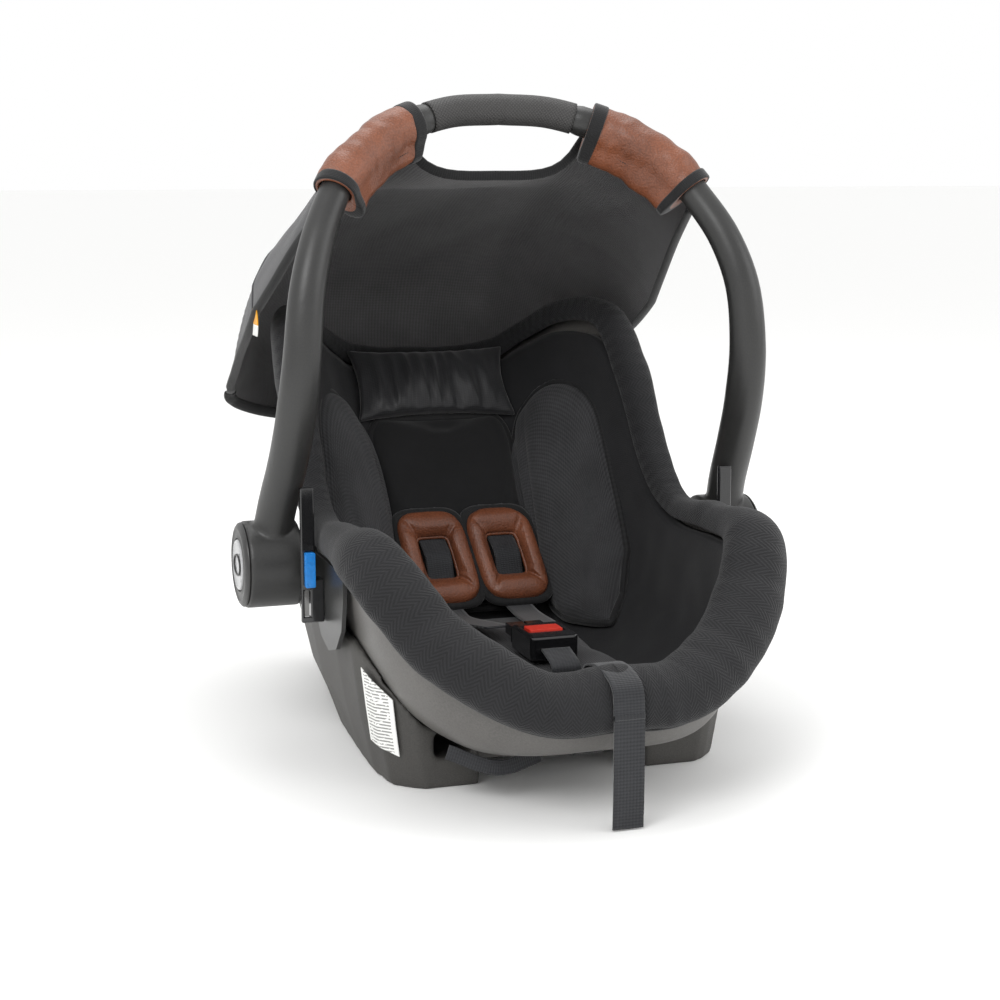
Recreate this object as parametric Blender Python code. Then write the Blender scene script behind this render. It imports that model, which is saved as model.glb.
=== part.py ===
"""Infant car seat: shell on two rockers, swinging carry handle, fabric cover and insert, harness and canopy."""

import math

import bmesh
import bpy
import numpy as np

# Driving sizes, in metres. Y runs from the foot end to the head end, Z is up, X is across.
FOOT_TO_ORIGIN = 0.1857  # front faces of the feet sit this far in front of the origin
SHELL_FRONT = -0.112  # shell rim at the foot end, counted from the front faces of the feet
SHELL_LENGTH = 0.566
SHELL_HALF_WIDTH = 0.168
SHELL_FLOOR = 0.048  # height of the shell's inner floor
SHELL_DEPTH = 0.312  # inner floor to the highest rim point
SHELL_WALL = 0.0035
LENGTH_SHARE = SHELL_LENGTH / 0.566  # of the length and the half width that the other sizes were drawn for
WIDTH_SHARE = SHELL_HALF_WIDTH / 0.168
FLOOR_FRONT = -0.072
FLOOR_LENGTH = 0.318 * LENGTH_SHARE
FLOOR_HALF_WIDTH = 0.090 * WIDTH_SHARE
SIDE = SHELL_HALF_WIDTH + SHELL_WALL

LINING_THICK = 0.008
INSERT_TOP = 0.030  # insert's upper face above the shell's inner face
INSERT_HALF_WIDTH = 0.075 * WIDTH_SHARE - 0.005
PILLOW_HALF_WIDTH = 0.067 * WIDTH_SHARE
PILLOW_TOP = 0.046
SEAT_PAD_TOP = 0.040
CLEAR = 0.0005  # gap between pieces that lie on each other
LOOSE = 0.003  # gap under the insert, which follows a flatter line than the lining

FOOT_INNER = 0.073 * WIDTH_SHARE
FOOT_WALL = 0.004
ROCK_FLAT = 0.275  # the rockers are flat up to here, then curve up
ROCK_RADIUS = 0.40
POCKET_WIDTH = 0.031
POCKET_HEIGHT = 0.022
POCKET_DEPTH = 0.060
POCKET_CENTRE = (0.096 * WIDTH_SHARE, 0.036)  # across, up

HUB_Y = SHELL_FRONT + 0.272 * LENGTH_SHARE
HUB_Z = 0.163
HUB_RADIUS = 0.0375
HUB_INNER = SIDE + 0.017
HUB_OUTER = HUB_INNER + 0.047
CAP_THICK = 0.0038
BUTTON_RADIUS = 0.022
JOURNAL_RADIUS = 0.018
SCREW_RADIUS = 0.004
SCREW_HOLE = 0.0041

TUBE_RADIUS = 0.013
LEG_RADIUS = 0.0155
GRIP_THICK = 0.0022
GRIP_HALF = 0.064 * WIDTH_SHARE
HANDLE_TOP = 0.548
SLEEVE_IN = 0.079 * WIDTH_SHARE
SLEEVE_OUT = 0.160 * WIDTH_SHARE
SLEEVE_THICK = 0.0035

WEBBING = 0.025
WEB_THICK = 0.0014
STRAP_X = 0.034 * WIDTH_SHARE
SLOT_ALONG = 0.141  # shoulder strap slot, along the back from its foot
PAD_TOP_ALONG = 0.128
PAD_LENGTH = 0.094
PAD_WIDTH = 0.060 * WIDTH_SHARE
PAD_THICK = 0.011
WINDOW_WIDTH = WEBBING + 0.006  # opening in a chest pad
WINDOW_FROM_END = 0.027
CANOPY_THICK = 0.0025

# Design lines from the foot end's middle round one side to the head end's middle, as shares of the sizes above.
RIM_LINE = ((0, 0, .141), (.36, .012, .147), (.74, .085, .27), (.965, .177, .445), (1, .30, .458),
            (1, .46, .455), (1, .563, .56), (.985, .66, .80), (.95, .75, .96), (.82, .845, .965), (.655, .925, .89),
            (.44, .954, .82), (0, .956, .80))
FLOOR_LINE = ((0, 0), (.55, 0), (.86, .035), (.97, .13), (1, .27), (1, .48), (1, .64), (1, .78), (1, .87),
              (.98, .94), (.94, .985), (.80, 1), (0, 1))
LAST = len(RIM_LINE) - 1
# Padded rim at the same places: how far it stands out, and how far it hangs down outside.
ROLL_OUT = (.022, .022, .022, .022, .008, .003, .006, .009, .010, .006, .006, .008, .009)
ROLL_DROP = (.017, .017, .018, .016, .010, .009, .012, .016, .022, .024, .024, .024, .024)
# Side of a rocker: along, bottom and top half widths, top height.
ROCKER_LINE = ((0, .119, .128, .072), (.006, .129, .140, .080), (.021, .143, .156, .098),
               (.056, .147, .168, .117), (.103, .146, .172, .122), (.200, .140, .172, .122),
               (.275, .129, .166, .118), (.351, .119, .150, .112), (.420, .106, .130, .106),
               (.470, .098, .112, .098))
ROCKER_LINE = [(y, bottom * WIDTH_SHARE, top * WIDTH_SHARE, height) for y, bottom, top, height in ROCKER_LINE]
# Handle's middle line on one side, from the apex down to the hub: across, along from the hub, up as a share.
HANDLE_LINE = ((0, .013, 1.0), (.045, .010, .995), (.0695, .0050, .9835), (.0740, .0037, .9808),
               (.090, -.002, .971), (.120, -.016, .943), (.146, -.031, .907), (.164, -.046, .861),
               (.181, -.065, .800), (.193, -.078, .723), (.198, -.080, .630), (.201, -.068, .545),
               (.204, -.047, .470), (.208, -.022, .400), (.211, -.008, .345), (.212, 0, .298))


for old in list(bpy.data.objects):
    bpy.data.objects.remove(old, do_unlink=True)


def colour_of(red, green, blue):
    """Linear values of a display colour given in 0-255 steps."""
    return tuple(pow(value / 255, 2.2) for value in (red, green, blue)) + (1.0,)


MATERIALS = {
    "shell_plastic": (colour_of(127, 125, 122), 0.45, 0.0),
    "base_plastic": (colour_of(75, 74, 72), 0.6, 0.0),
    "gloss_black": (colour_of(18, 18, 19), 0.15, 0.0),
    "handle_plastic": (colour_of(64, 63, 62), 0.4, 0.0),
    "grip_rubber": (colour_of(58, 57, 56), 0.7, 0.0),
    "leatherette": (colour_of(160, 95, 66), 0.5, 0.0),
    "cover_fabric": (colour_of(64, 64, 64), 0.9, 0.0),
    "dark_fabric": (colour_of(42, 42, 43), 0.9, 0.0),
    "webbing": (colour_of(32, 33, 35), 0.75, 0.0),
    "blue_plastic": (colour_of(10, 128, 214), 0.35, 0.0),
    "red_plastic": (colour_of(216, 52, 44), 0.35, 0.0),
    "badge_plastic": (colour_of(150, 150, 148), 0.35, 0.0),
    "steel": (colour_of(170, 172, 175), 0.3, 1.0),
    "label_white": (colour_of(236, 236, 234), 0.5, 0.0),
    "tag_orange": (colour_of(233, 165, 31), 0.6, 0.0),
}


def finish(obj, material, smooth=False):
    """Gives the object its own material of the named kind."""
    colour, roughness, metallic = MATERIALS[material]
    made = bpy.data.materials.new(obj.name + "_" + material)
    made.use_nodes = True
    shader = made.node_tree.nodes["Principled BSDF"]
    shader.inputs["Base Color"].default_value = colour
    shader.inputs["Roughness"].default_value = roughness
    shader.inputs["Metallic"].default_value = metallic
    obj.data.materials.clear()
    obj.data.materials.append(made)
    for face in obj.data.polygons:
        face.use_smooth = smooth
    return obj


def solid(name, points, faces, material=None, origin=(0, 0, 0), smooth=False):
    """A closed mesh object from points in the seat's frame, its origin at the given place."""
    shift = np.array([0, -FOOT_TO_ORIGIN, 0])
    mesh = bpy.data.meshes.new(name)
    mesh.from_pydata([tuple(np.array(p) - np.array(origin)) for p in points], [], faces)
    shaped = bmesh.new()
    shaped.from_mesh(mesh)
    bmesh.ops.recalc_face_normals(shaped, faces=shaped.faces)
    if shaped.calc_volume(signed=True) < 0:
        bmesh.ops.reverse_faces(shaped, faces=shaped.faces)
    shaped.to_mesh(mesh)
    shaped.free()
    obj = bpy.data.objects.new(name, mesh)
    obj.location = np.array(origin) + shift
    bpy.context.collection.objects.link(obj)
    if material:
        finish(obj, material, smooth)
    else:
        obj.hide_render = True
        obj.display_type = "WIRE"
    return obj


def grid_faces(rows, columns, wrap):
    """Quads over a grid of points, joined round when wrap is set."""
    spans = columns if wrap else columns - 1
    return [(r * columns + c, r * columns + (c + 1) % columns, (r + 1) * columns + (c + 1) % columns,
             (r + 1) * columns + c) for r in range(rows - 1) for c in range(spans)]


def loft(name, rings, material=None, closed=False, origin=(0, 0, 0), smooth=False):
    """A solid through closed rings of points, with end caps or joined end to end."""
    count = len(rings[0])
    faces = grid_faces(len(rings), count, True)
    if closed:
        last = (len(rings) - 1) * count
        faces += [(last + c, last + (c + 1) % count, (c + 1) % count, c) for c in range(count)]
    else:
        faces += [tuple(range(count)), tuple(range(len(rings) * count - 1, (len(rings) - 1) * count - 1, -1))]
    return solid(name, [p for ring in rings for p in ring], faces, material, origin, smooth)


def sheet(name, lower, upper, material=None, smooth=True, origin=(0, 0, 0), cup=False):
    """A solid between two grids of points of equal size; a cup is joined round and floored at its first row."""
    rows, columns = len(lower), len(lower[0])
    size = rows * columns
    flat = [half for a, b, c, d in grid_faces(rows, columns, cup) for half in ((a, b, c), (a, c, d))]
    faces = flat + [tuple(size + i for i in reversed(face)) for face in flat]
    if cup:
        edge = [(rows - 1) * columns + c for c in range(columns)]
        faces += [tuple(range(columns)), tuple(size + c for c in range(columns - 1, -1, -1))]
    else:
        edge = [c for c in range(columns)] + [r * columns + columns - 1 for r in range(1, rows)]
        edge += [(rows - 1) * columns + c for c in range(columns - 2, -1, -1)]
        edge += [r * columns for r in range(rows - 2, 0, -1)]
    faces += [(edge[i], edge[(i + 1) % len(edge)], size + edge[(i + 1) % len(edge)], size + edge[i])
              for i in range(len(edge))]
    return solid(name, [p for row in list(lower) + list(upper) for p in row], faces, material, origin, smooth)


def box(name, low, high, material=None, origin=None):
    """A block between two corners."""
    corners = [(x, y, z) for z in (low[2], high[2]) for x, y in
               ((low[0], low[1]), (high[0], low[1]), (high[0], high[1]), (low[0], high[1]))]
    return loft(name, [corners[:4], corners[4:]], material, origin=origin or (0, 0, 0))


def disc_x(name, profile, centre, steps, material=None, origin=None):
    """A solid turned about a line along X from (x, radius) pairs; a pair list that returns makes a ring."""
    turned = [[(x, centre[0] + r * math.cos(a), centre[1] + r * math.sin(a))
               for a in (math.tau * k / steps for k in range(steps))] for x, r in profile]
    hollow = profile[0] == profile[-1]
    return loft(name, turned[:-1] if hollow else turned, material, closed=hollow, origin=origin or (0, 0, 0),
                smooth=False)


def unit(vector):
    vector = np.array(vector, float)
    return vector / max(np.linalg.norm(vector), 1e-12)


def band(name, path, width, thick, material, across=(1, 0, 0), origin=(0, 0, 0)):
    """A flat strap of the given width, its middle line along the path."""
    path = [np.array(p, float) for p in path]
    rings = []
    for i, point in enumerate(path):
        along = unit(path[min(i + 1, len(path) - 1)] - path[max(i - 1, 0)])
        side = unit(np.array(across) - along * np.dot(across, along))
        up = np.cross(along, side)
        rings.append([point + side * a * width / 2 + up * b * thick / 2
                      for a, b in ((-1, -1), (1, -1), (1, 1), (-1, 1))])
    return loft(name, rings, material, origin=origin)


def coil(name, start, length, radius, wire, turns, material):
    """A helical spring along X from its start point."""
    steps = turns * 8
    rings = []
    for k in range(steps + 1):
        angle = math.tau * k / 8
        out = np.array([0, math.cos(angle), math.sin(angle)])
        middle = np.array(start) + np.array([length * k / steps, 0, 0]) + out * radius
        rings.append([middle + np.array([1, 0, 0]) * wire * a + out * wire * b
                      for a, b in ((-.5, -.5), (.5, -.5), (.5, .5), (-.5, .5))])
    return loft(name, rings, material)


def cut(target, tool, operation="DIFFERENCE"):
    """Takes the tool from the target, or joins it to it."""
    change = target.modifiers.new(tool.name, "BOOLEAN")
    change.object = tool
    change.operation = operation
    change.solver = "EXACT"


def mirrored(name, source, material):
    """The source's mesh as it stands, mirrored to the other side as a new object."""
    bpy.context.view_layer.update()
    seen = source.evaluated_get(bpy.context.evaluated_depsgraph_get()).to_mesh()
    world = [source.matrix_world @ v.co for v in seen.vertices]
    points = [(-p.x, p.y + FOOT_TO_ORIGIN, p.z) for p in world]
    faces = [tuple(reversed(face.vertices)) for face in seen.polygons]
    place = source.location
    origin = (-place.x, place.y + FOOT_TO_ORIGIN, place.z)
    smooth = len(seen.polygons) > 0 and seen.polygons[0].use_smooth
    return solid(name, points, faces, material, origin, smooth)


# The shell's inner face, which every layer of the seat is worked from.
def on_line(line, place):
    """Smooth point of a design line at a fractional place along it."""
    low = min(int(place), LAST - 1)
    part = place - low
    before, start, end, after = (np.array(line[min(max(k, 0), LAST)], float) for k in range(low - 1, low + 3))
    if low == 0:
        before = np.array([-line[1][0], *line[1][1:]])
    if low + 2 > LAST:
        after = np.array([-line[LAST - 1][0], *line[LAST - 1][1:]])
    return 0.5 * (2 * start + (end - before) * part + (2 * before - 5 * start + 4 * end - after) * part ** 2
                  + (3 * start - before - 3 * end + after) * part ** 3)


def rim_point(place):
    x, y, z = on_line(RIM_LINE, place)
    return np.array([x * SHELL_HALF_WIDTH, SHELL_FRONT + y * SHELL_LENGTH, SHELL_FLOOR + z * SHELL_DEPTH])


def floor_point(place):
    x, y = on_line(FLOOR_LINE, place)
    return np.array([x * FLOOR_HALF_WIDTH, FLOOR_FRONT + y * FLOOR_LENGTH, SHELL_FLOOR])


def straightness(place):
    """0 where the wall turns up in a curve, at the feet and sides, and 1 where it rises straight, at the back."""
    part = min(max((place - 6.0) / 4.5, 0), 1)
    return part * part * (3 - 2 * part)


def wall_point(place, rise):
    """Point on the inner face, from the floor's edge (rise 0) to the rim (rise 1)."""
    low, high = floor_point(place), rim_point(place)
    angle = rise * math.pi / 2
    straight = straightness(place)
    across = math.sin(angle) * (1 - straight) + rise * straight
    up = (1 - math.cos(angle)) * (1 - straight) + rise * straight
    return np.array([low[0] + (high[0] - low[0]) * across, low[1] + (high[1] - low[1]) * across,
                     low[2] + (high[2] - low[2]) * up])


def wall_normal(place, rise):
    """Unit direction into the seat."""
    step = 0.02
    near, far = max(place - step, 0), min(place + step, LAST)
    under, over = max(rise - step, 0.001), min(max(rise, 0.001) + step, 1)
    along = wall_point(far, rise) - wall_point(near, rise)
    upward = wall_point(place, over) - wall_point(place, under)
    normal = unit(np.cross(upward, along))
    return normal


def layer_point(place, rise, inset):
    """Point a given distance inside the shell's inner face."""
    normal = wall_normal(place, rise)
    if rise > 0:
        return wall_point(place, rise) + normal * inset
    corner = (np.array([0, 0, 1.0]) + normal) / (1 + normal[2])
    return wall_point(place, 0) + corner * inset


def whole_loop(half):
    """Both sides of a half loop of points, ends shared."""
    return half + [p * np.array([-1, 1, 1]) for p in reversed(half[1:-1])]


PLACES = [LAST * k / 16 for k in range(17)]
LINING_RISE = 0.93
RISES = (0, .25, .5, .75, LINING_RISE, 1)


def bowl(name, low, high, top, material=None, lift=0):
    """A layer of the bucket between two insets, from its floor up to a share of the wall."""
    rises = [r for r in RISES if r <= top]
    outer, inner = ([whole_loop([layer_point(p, r, inset) for p in PLACES]) for r in rises]
                    for inset in (low, high))
    for rows in (outer, inner):
        rows[-1] = [p + np.array([0, 0, lift]) for p in rows[-1]]
    return sheet(name, outer, inner, material, cup=True)


shell = bowl("seat_shell", -SHELL_WALL, 0, 1, "shell_plastic")
lining = bowl("cover_lining", CLEAR, CLEAR + LINING_THICK, LINING_RISE, "cover_fabric")
shell_outside = [whole_loop([layer_point(p, r, -SHELL_WALL - 4 * CLEAR) for p in PLACES]) for r in RISES]
shell_above = [np.array([p[0], p[1], HANDLE_TOP]) for p in shell_outside[-1]]
under_shell = loft("under_shell_cutter", shell_outside + [shell_above])


def roll_ring(place):
    """Section of the padded rim, hooked over the shell and the lining."""
    edge = rim_point(place)
    along = unit(rim_point(min(place + .05, LAST)) - rim_point(max(place - .05, 0)))
    upward = wall_point(place, 1) - wall_point(place, .94)
    up = unit(upward - along * np.dot(upward, along))
    inward = unit(np.cross(up, along))
    out = np.interp(place, range(LAST + 1), ROLL_OUT)
    drop = np.interp(place, range(LAST + 1), ROLL_DROP)
    slot_in = CLEAR * 2 + LINING_THICK
    slot_out = -SHELL_WALL - CLEAR * 2
    top = 0.010 + out * 0.6
    inner = slot_in + 0.004 + out * 0.4
    shape = ((slot_out - .003, -drop), (slot_out - out * .8, -drop * .9), (slot_out - out, -drop * .4),
             (slot_out - out * .85, top * .5), (slot_out - out * .3, top), (inner * .5, top), (inner, top * .4),
             (inner, -drop * .15), (slot_in + .001, -drop * .25))
    return [edge + inward * a + up * b for a, b in shape]


ring_places = [LAST * k / 24 for k in range(25)]
half_rings = [roll_ring(p) for p in ring_places]
other_rings = [[p * np.array([-1, 1, 1]) for p in ring] for ring in reversed(half_rings[1:-1])]
rim_pad = loft("seat_cover", half_rings + other_rings, "cover_fabric", closed=True, smooth=True)
cut(rim_pad, bowl("rim_slot_cutter", -SHELL_WALL - 2 * CLEAR, 3 * CLEAR + LINING_THICK, 1, lift=2 * CLEAR))

# The back's straight middle line, which the insert, the pillow and the harness follow.
BACK_FOOT = floor_point(LAST)
BACK_ALONG = unit(rim_point(LAST) - BACK_FOOT)
BACK_NORMAL = np.array([0, -BACK_ALONG[2], BACK_ALONG[1]])


def back_point(x, along, inset):
    return BACK_FOOT + np.array([x, 0, 0]) + BACK_ALONG * along + BACK_NORMAL * inset


def back_block(name, x, limits, low, high):
    """A cutter square to the back: its sides across and along, between two heights above the back."""
    left, right, start, end = limits
    return loft(name, [[back_point(x + a, along, inset)
                        for a, along in ((left, start), (right, start), (right, end), (left, end))]
                       for inset in (low, high)])


def cushion(name, half_width, start, end, low, high, material):
    """A rounded pad lying along the back."""
    shape = ((-1, .25), (-.93, 0), (.93, 0), (1, .25), (1, .75), (.9, 1), (-.9, 1), (-1, .75))
    rings = []
    for k, squeeze in enumerate((.55, 1, 1, .55)):
        along = (start, start + .012, end - .012, end)[k]
        middle = (low + high) / 2
        rings.append([back_point(x * half_width, along, middle + (low + (high - low) * d - middle) * squeeze)
                      for x, d in shape])
    return loft(name, rings, material, smooth=True)


insert_low = CLEAR + LINING_THICK + 1.6 * LOOSE
insert_back = cushion("insert_back", INSERT_HALF_WIDTH, .034, .236, insert_low, INSERT_TOP, "dark_fabric")
cushion("head_pillow", PILLOW_HALF_WIDTH, .240, .296, insert_low, PILLOW_TOP, "dark_fabric")

pad_front, pad_back = FLOOR_FRONT + .040, FLOOR_FRONT + FLOOR_LENGTH - .014
pad_low, pad_high = SHELL_FLOOR + 2 * CLEAR + LINING_THICK, SHELL_FLOOR + SEAT_PAD_TOP
pad_shape = ((-.9, 0), (.9, 0), (1, .3), (1, .7), (.88, 1), (-.88, 1), (-1, .7), (-1, .3))
seat_pad = loft("seat_pad", [[(x * INSERT_HALF_WIDTH * w, y, pad_low + (pad_high - pad_low) * (.5 + (h - .5) * s))
                              for x, h in pad_shape]
                             for y, w, s in ((pad_front, .9, .5), (pad_front + .015, 1, 1),
                                             (pad_back - .015, 1, 1), (pad_back, .96, .5))],
                "dark_fabric", smooth=True)


def bolster(name, side):
    """A teardrop side pad of the insert, against the lining."""
    rows = [6.35 + 4.15 * k / 8 for k in range(9)]
    columns = [k / 6 for k in range(7)]
    lower, upper = [], []
    flip = np.array([side, 1, 1])
    base = CLEAR + 2 * LOOSE + LINING_THICK
    for k, place in enumerate(rows):
        spread = math.sin(math.pi * (.09 + .82 * k / 8)) ** .5
        low_row, high_row = [], []
        for share in columns:
            rise = .47 + (share - .5) * .62 * spread
            dome = max(math.sin(math.pi * share) * math.sin(math.pi * k / 8), 0) ** .6
            low_row.append(layer_point(place, rise, base) * flip)
            high_row.append(layer_point(place, rise, base + .007 + .019 * dome) * flip)
        lower.append(low_row)
        upper.append(high_row)
    return sheet(name, lower, upper, "dark_fabric")


bolster("insert_bolster_right", 1)
bolster("insert_bolster_left", -1)

# Rockers: one moulding each side under the shell, with a pocket in the front face.


def rocker_bottom(y):
    return ROCK_RADIUS - math.sqrt(ROCK_RADIUS ** 2 - max(y - ROCK_FLAT, 0) ** 2)


rocker_rings = []
for y, bottom, top, height in ROCKER_LINE:
    base = rocker_bottom(y)
    middle = base + .4 * (height - base)
    rocker_rings.append([(FOOT_INNER, y, base), (bottom, y, base), (bottom + .55 * (top - bottom), y, middle),
                         (top, y, height), (top - .012, y, height), (FOOT_INNER, y, height * .94)])
rocker = loft("rocker_right", rocker_rings, "base_plastic")
cut(rocker, under_shell)
px, pz = POCKET_CENTRE
pocket = box("pocket_cutter", (px - POCKET_WIDTH / 2, -.01, pz - POCKET_HEIGHT / 2),
             (px + POCKET_WIDTH / 2, POCKET_DEPTH, pz + POCKET_HEIGHT / 2))
cut(rocker, pocket)
hollow_rings = []
for y, bottom, top, height in ROCKER_LINE[3:-1]:
    base = rocker_bottom(y)
    shifted = POCKET_DEPTH + .012 if y < POCKET_DEPTH + .012 else y
    hollow_rings.append([(FOOT_INNER + FOOT_WALL, shifted, base - .02), (bottom - FOOT_WALL, shifted, base - .02),
                         (bottom - FOOT_WALL, shifted, base + .035),
                         (FOOT_INNER + FOOT_WALL, shifted, base + .035)])
hollow_cutter = loft("rocker_hollow_cutter", hollow_rings)
cut(rocker, hollow_cutter)
cut(mirrored("rocker_left", rocker, "base_plastic"), under_shell)

TIE = FOOT_INNER - CLEAR
box("front_crossmember", (-TIE, .018, .016), (TIE, .062, .033), "shell_plastic")
box("rear_crossmember", (-TIE, .385, rocker_bottom(.42) + .012), (TIE, .420, rocker_bottom(.42) + .060),
    "base_plastic")

# Handle pivots, belt guides.
BOSS_IN = SIDE + .0016
BOSS_OUT = BOSS_IN + .0035


def side_outline(low_y, high_y, low_z, high_z, steps=7):
    """A U shape open at the top, round at the bottom."""
    middle, half = (low_y + high_y) / 2, (high_y - low_y) / 2
    arc = [(middle + half * math.cos(a), low_z + half + half * math.sin(a))
           for a in (math.pi + math.pi * k / (steps - 1) for k in range(steps))]
    return arc + [(high_y, high_z), (low_y, high_z)]


boss_outline = side_outline(HUB_Y - .120, HUB_Y - .012, .0985, .174)
boss = loft("pivot_boss_right", [[(x, y, z) for y, z in boss_outline] for x in (BOSS_IN, BOSS_OUT)],
            "base_plastic")
journal = disc_x("journal_cutter", ((BOSS_IN, JOURNAL_RADIUS), (HUB_INNER - CLEAR, JOURNAL_RADIUS)),
                 (HUB_Y, HUB_Z), 20)
cut(boss, journal, "UNION")
screw_hole = disc_x("screw_cutter", ((BOSS_IN - .01, SCREW_HOLE), (HUB_OUTER - .02, SCREW_HOLE)),
                    (HUB_Y, HUB_Z), 16)
cut(boss, screw_hole)
mirrored("pivot_boss_left", boss, "base_plastic")

GUIDE_Y = HUB_Y - .056
GUIDE_IN = BOSS_OUT + .0079
guide = box("belt_guide_right", (GUIDE_IN, GUIDE_Y, .121), (GUIDE_IN + .0120, GUIDE_Y + .005, .236), "gloss_black")
cut(guide, box("guide_foot_tool", (BOSS_OUT + CLEAR, GUIDE_Y, .121), (GUIDE_IN + .003, GUIDE_Y + .013, .158)),
    "UNION")
guide_slot = box("guide_slot_cutter", (GUIDE_IN + .0042, GUIDE_Y - .01, .126),
                 (GUIDE_IN + .0096, GUIDE_Y + .02, .149))
cut(guide, guide_slot)
mirrored("belt_guide_left", guide, "gloss_black")
hook = box("belt_hook_right", (GUIDE_IN + .001, GUIDE_Y - .006, .152), (GUIDE_IN + .0095, GUIDE_Y - CLEAR, .182),
           "blue_plastic")
mirrored("belt_hook_left", hook, "blue_plastic")

# Handle: one arch with a hub at each end, the middle under a grip.
handle_points = [np.array([x * WIDTH_SHARE, HUB_Y + y, z * HANDLE_TOP]) for x, y, z in HANDLE_LINE]
line = [p * np.array([-1, 1, 1]) for p in reversed(handle_points[1:])] + handle_points


def tube_rings(points, radii, steps=10):
    """Round sections square to a line of points."""
    rings = []
    for i, point in enumerate(points):
        along = unit(points[min(i + 1, len(points) - 1)] - points[max(i - 1, 0)])
        side = unit(np.cross(along, (0, 1, 0)))
        up = np.cross(side, along)
        rings.append([point + (side * math.cos(a) + up * math.sin(a)) * radii[i]
                      for a in (math.tau * k / steps for k in range(steps))])
    return rings


def tube_radius(point):
    """The legs are stouter than the top, and the top is thinner under its grip."""
    if abs(point[0]) < GRIP_HALF + .007 * WIDTH_SHARE:
        return TUBE_RADIUS - GRIP_THICK
    share = min(max((HANDLE_TOP * .86 - point[2]) / (HANDLE_TOP * .3), 0), 1)
    return TUBE_RADIUS + (LEG_RADIUS - TUBE_RADIUS) * share


HINGE = (0, HUB_Y, HUB_Z)
handle = loft("handle_frame", tube_rings(line, [tube_radius(p) for p in line]), "handle_plastic", smooth=True,
              origin=HINGE)
POCKET_RADIUS = .0255
POCKET_FLOOR = HUB_INNER + .0185
for side in (-1, 1):
    tag = "right" if side > 0 else "left"
    hub = disc_x("hub_tool_" + tag, ((side * HUB_INNER, HUB_RADIUS), (side * HUB_OUTER, HUB_RADIUS)),
                 (HUB_Y, HUB_Z), 28)
    cut(handle, hub, "UNION")
    hub_pocket = disc_x("hub_pocket_tool_" + tag, ((side * POCKET_FLOOR, POCKET_RADIUS),
                                                   (side * (HUB_OUTER + .01), POCKET_RADIUS)), (HUB_Y, HUB_Z), 24)
    cut(handle, hub_pocket)
    hub_bore = disc_x("hub_bore_tool_" + tag, ((side * (HUB_INNER - .01), SCREW_HOLE),
                                               (side * (POCKET_FLOOR + .01), SCREW_HOLE)), (HUB_Y, HUB_Z), 16)
    cut(handle, hub_bore)

    cap_low, cap_high = side * (HUB_OUTER + CLEAR * .6), side * (HUB_OUTER + CAP_THICK)
    disc_x("hub_cap_" + tag, ((cap_low, HUB_RADIUS - .001), (cap_high, HUB_RADIUS - .004),
                              (cap_high, BUTTON_RADIUS + .0008), (cap_low, BUTTON_RADIUS + .0008),
                              (cap_low, HUB_RADIUS - .001)), (HUB_Y, HUB_Z), 28, "handle_plastic", origin=HINGE)
    face = HUB_OUTER + CAP_THICK + .0012
    disc_x("release_button_" + tag, ((side * (face - .009), BUTTON_RADIUS), (side * (face - .0015), BUTTON_RADIUS),
                                     (side * face, BUTTON_RADIUS - .002)), (HUB_Y, HUB_Z), 24, "badge_plastic",
           origin=(side * face, HUB_Y, HUB_Z))
    gear_out = face - .009 - CLEAR * .6
    teeth = 12
    gear_rings = []
    for x in (gear_out - .006, gear_out):
        gear_rings.append([(side * x, HUB_Y + r * math.cos(a), HUB_Z + r * math.sin(a))
                           for a, r in ((math.tau * (k + o) / teeth, .0225 if o < .5 else .0195)
                                        for k in range(teeth) for o in (0, .45, .5, .95))])
    loft("lock_gear_" + tag, gear_rings, "steel", origin=(side * face, HUB_Y, HUB_Z))
    spring_start = POCKET_FLOOR + CLEAR + .001
    coil("button_spring_" + tag, (side * spring_start, HUB_Y, HUB_Z),
         side * (gear_out - .006 - .001 - CLEAR - spring_start), .015, .0014, 3, "steel")
    head_low = side * (POCKET_FLOOR + CLEAR)
    disc_x("pivot_screw_" + tag, ((side * (BOSS_IN + .0005), SCREW_RADIUS), (head_low, SCREW_RADIUS),
                                  (head_low, .008), (side * (POCKET_FLOOR + .004), .008)),
           (HUB_Y, HUB_Z), 16, "steel")


def handle_at(x):
    """Point on the handle's line at a distance across."""
    return np.array([x] + [np.interp(abs(x), [p[0] for p in handle_points[:10]],
                                     [p[k] for p in handle_points[:10]]) for k in (1, 2)])


def sleeve(name, start, end, inside, outside, steps, material):
    """A close tube round the handle between two distances across."""
    stations = [start + (end - start) * k / (steps - 1) for k in range(steps)]
    points = [handle_at(x) for x in stations]
    outer = tube_rings(points, [outside] * steps)
    inner = tube_rings(points, [inside] * steps)
    return loft(name, outer + inner[::-1], material, closed=True, smooth=True, origin=HINGE)


grip_inside = TUBE_RADIUS - GRIP_THICK + .0009
sleeve("handle_grip", -GRIP_HALF, GRIP_HALF, grip_inside, TUBE_RADIUS + .0004, 9, "grip_rubber")
for tag, side in (("right", 1), ("left", -1)):
    sleeve("handle_sleeve_" + tag, side * SLEEVE_IN, side * SLEEVE_OUT, TUBE_RADIUS + .0014,
           TUBE_RADIUS + SLEEVE_THICK, 7, "leatherette")

# Canopy: one sheet from the handle's sleeves back and down behind the head end.
CANOPY_HALF = .166 * WIDTH_SHARE
CANOPY_SPREAD = .022
# Middle of the canopy from the handle to the hem behind the back, along from the hub and up, then its side edge.
CANOPY_LINE = ((.024, .522), (.098, .494), (.180, .472), (.260, .440), (.320, .398), (.352, .340), (.350, .290),
               (.328, .245))
CANOPY_EDGE = ((-.024, .464), (.036, .442), (.090, .414), (.136, .384), (.176, .354), (.216, .328), (.260, .302),
               (.302, .276))


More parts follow.
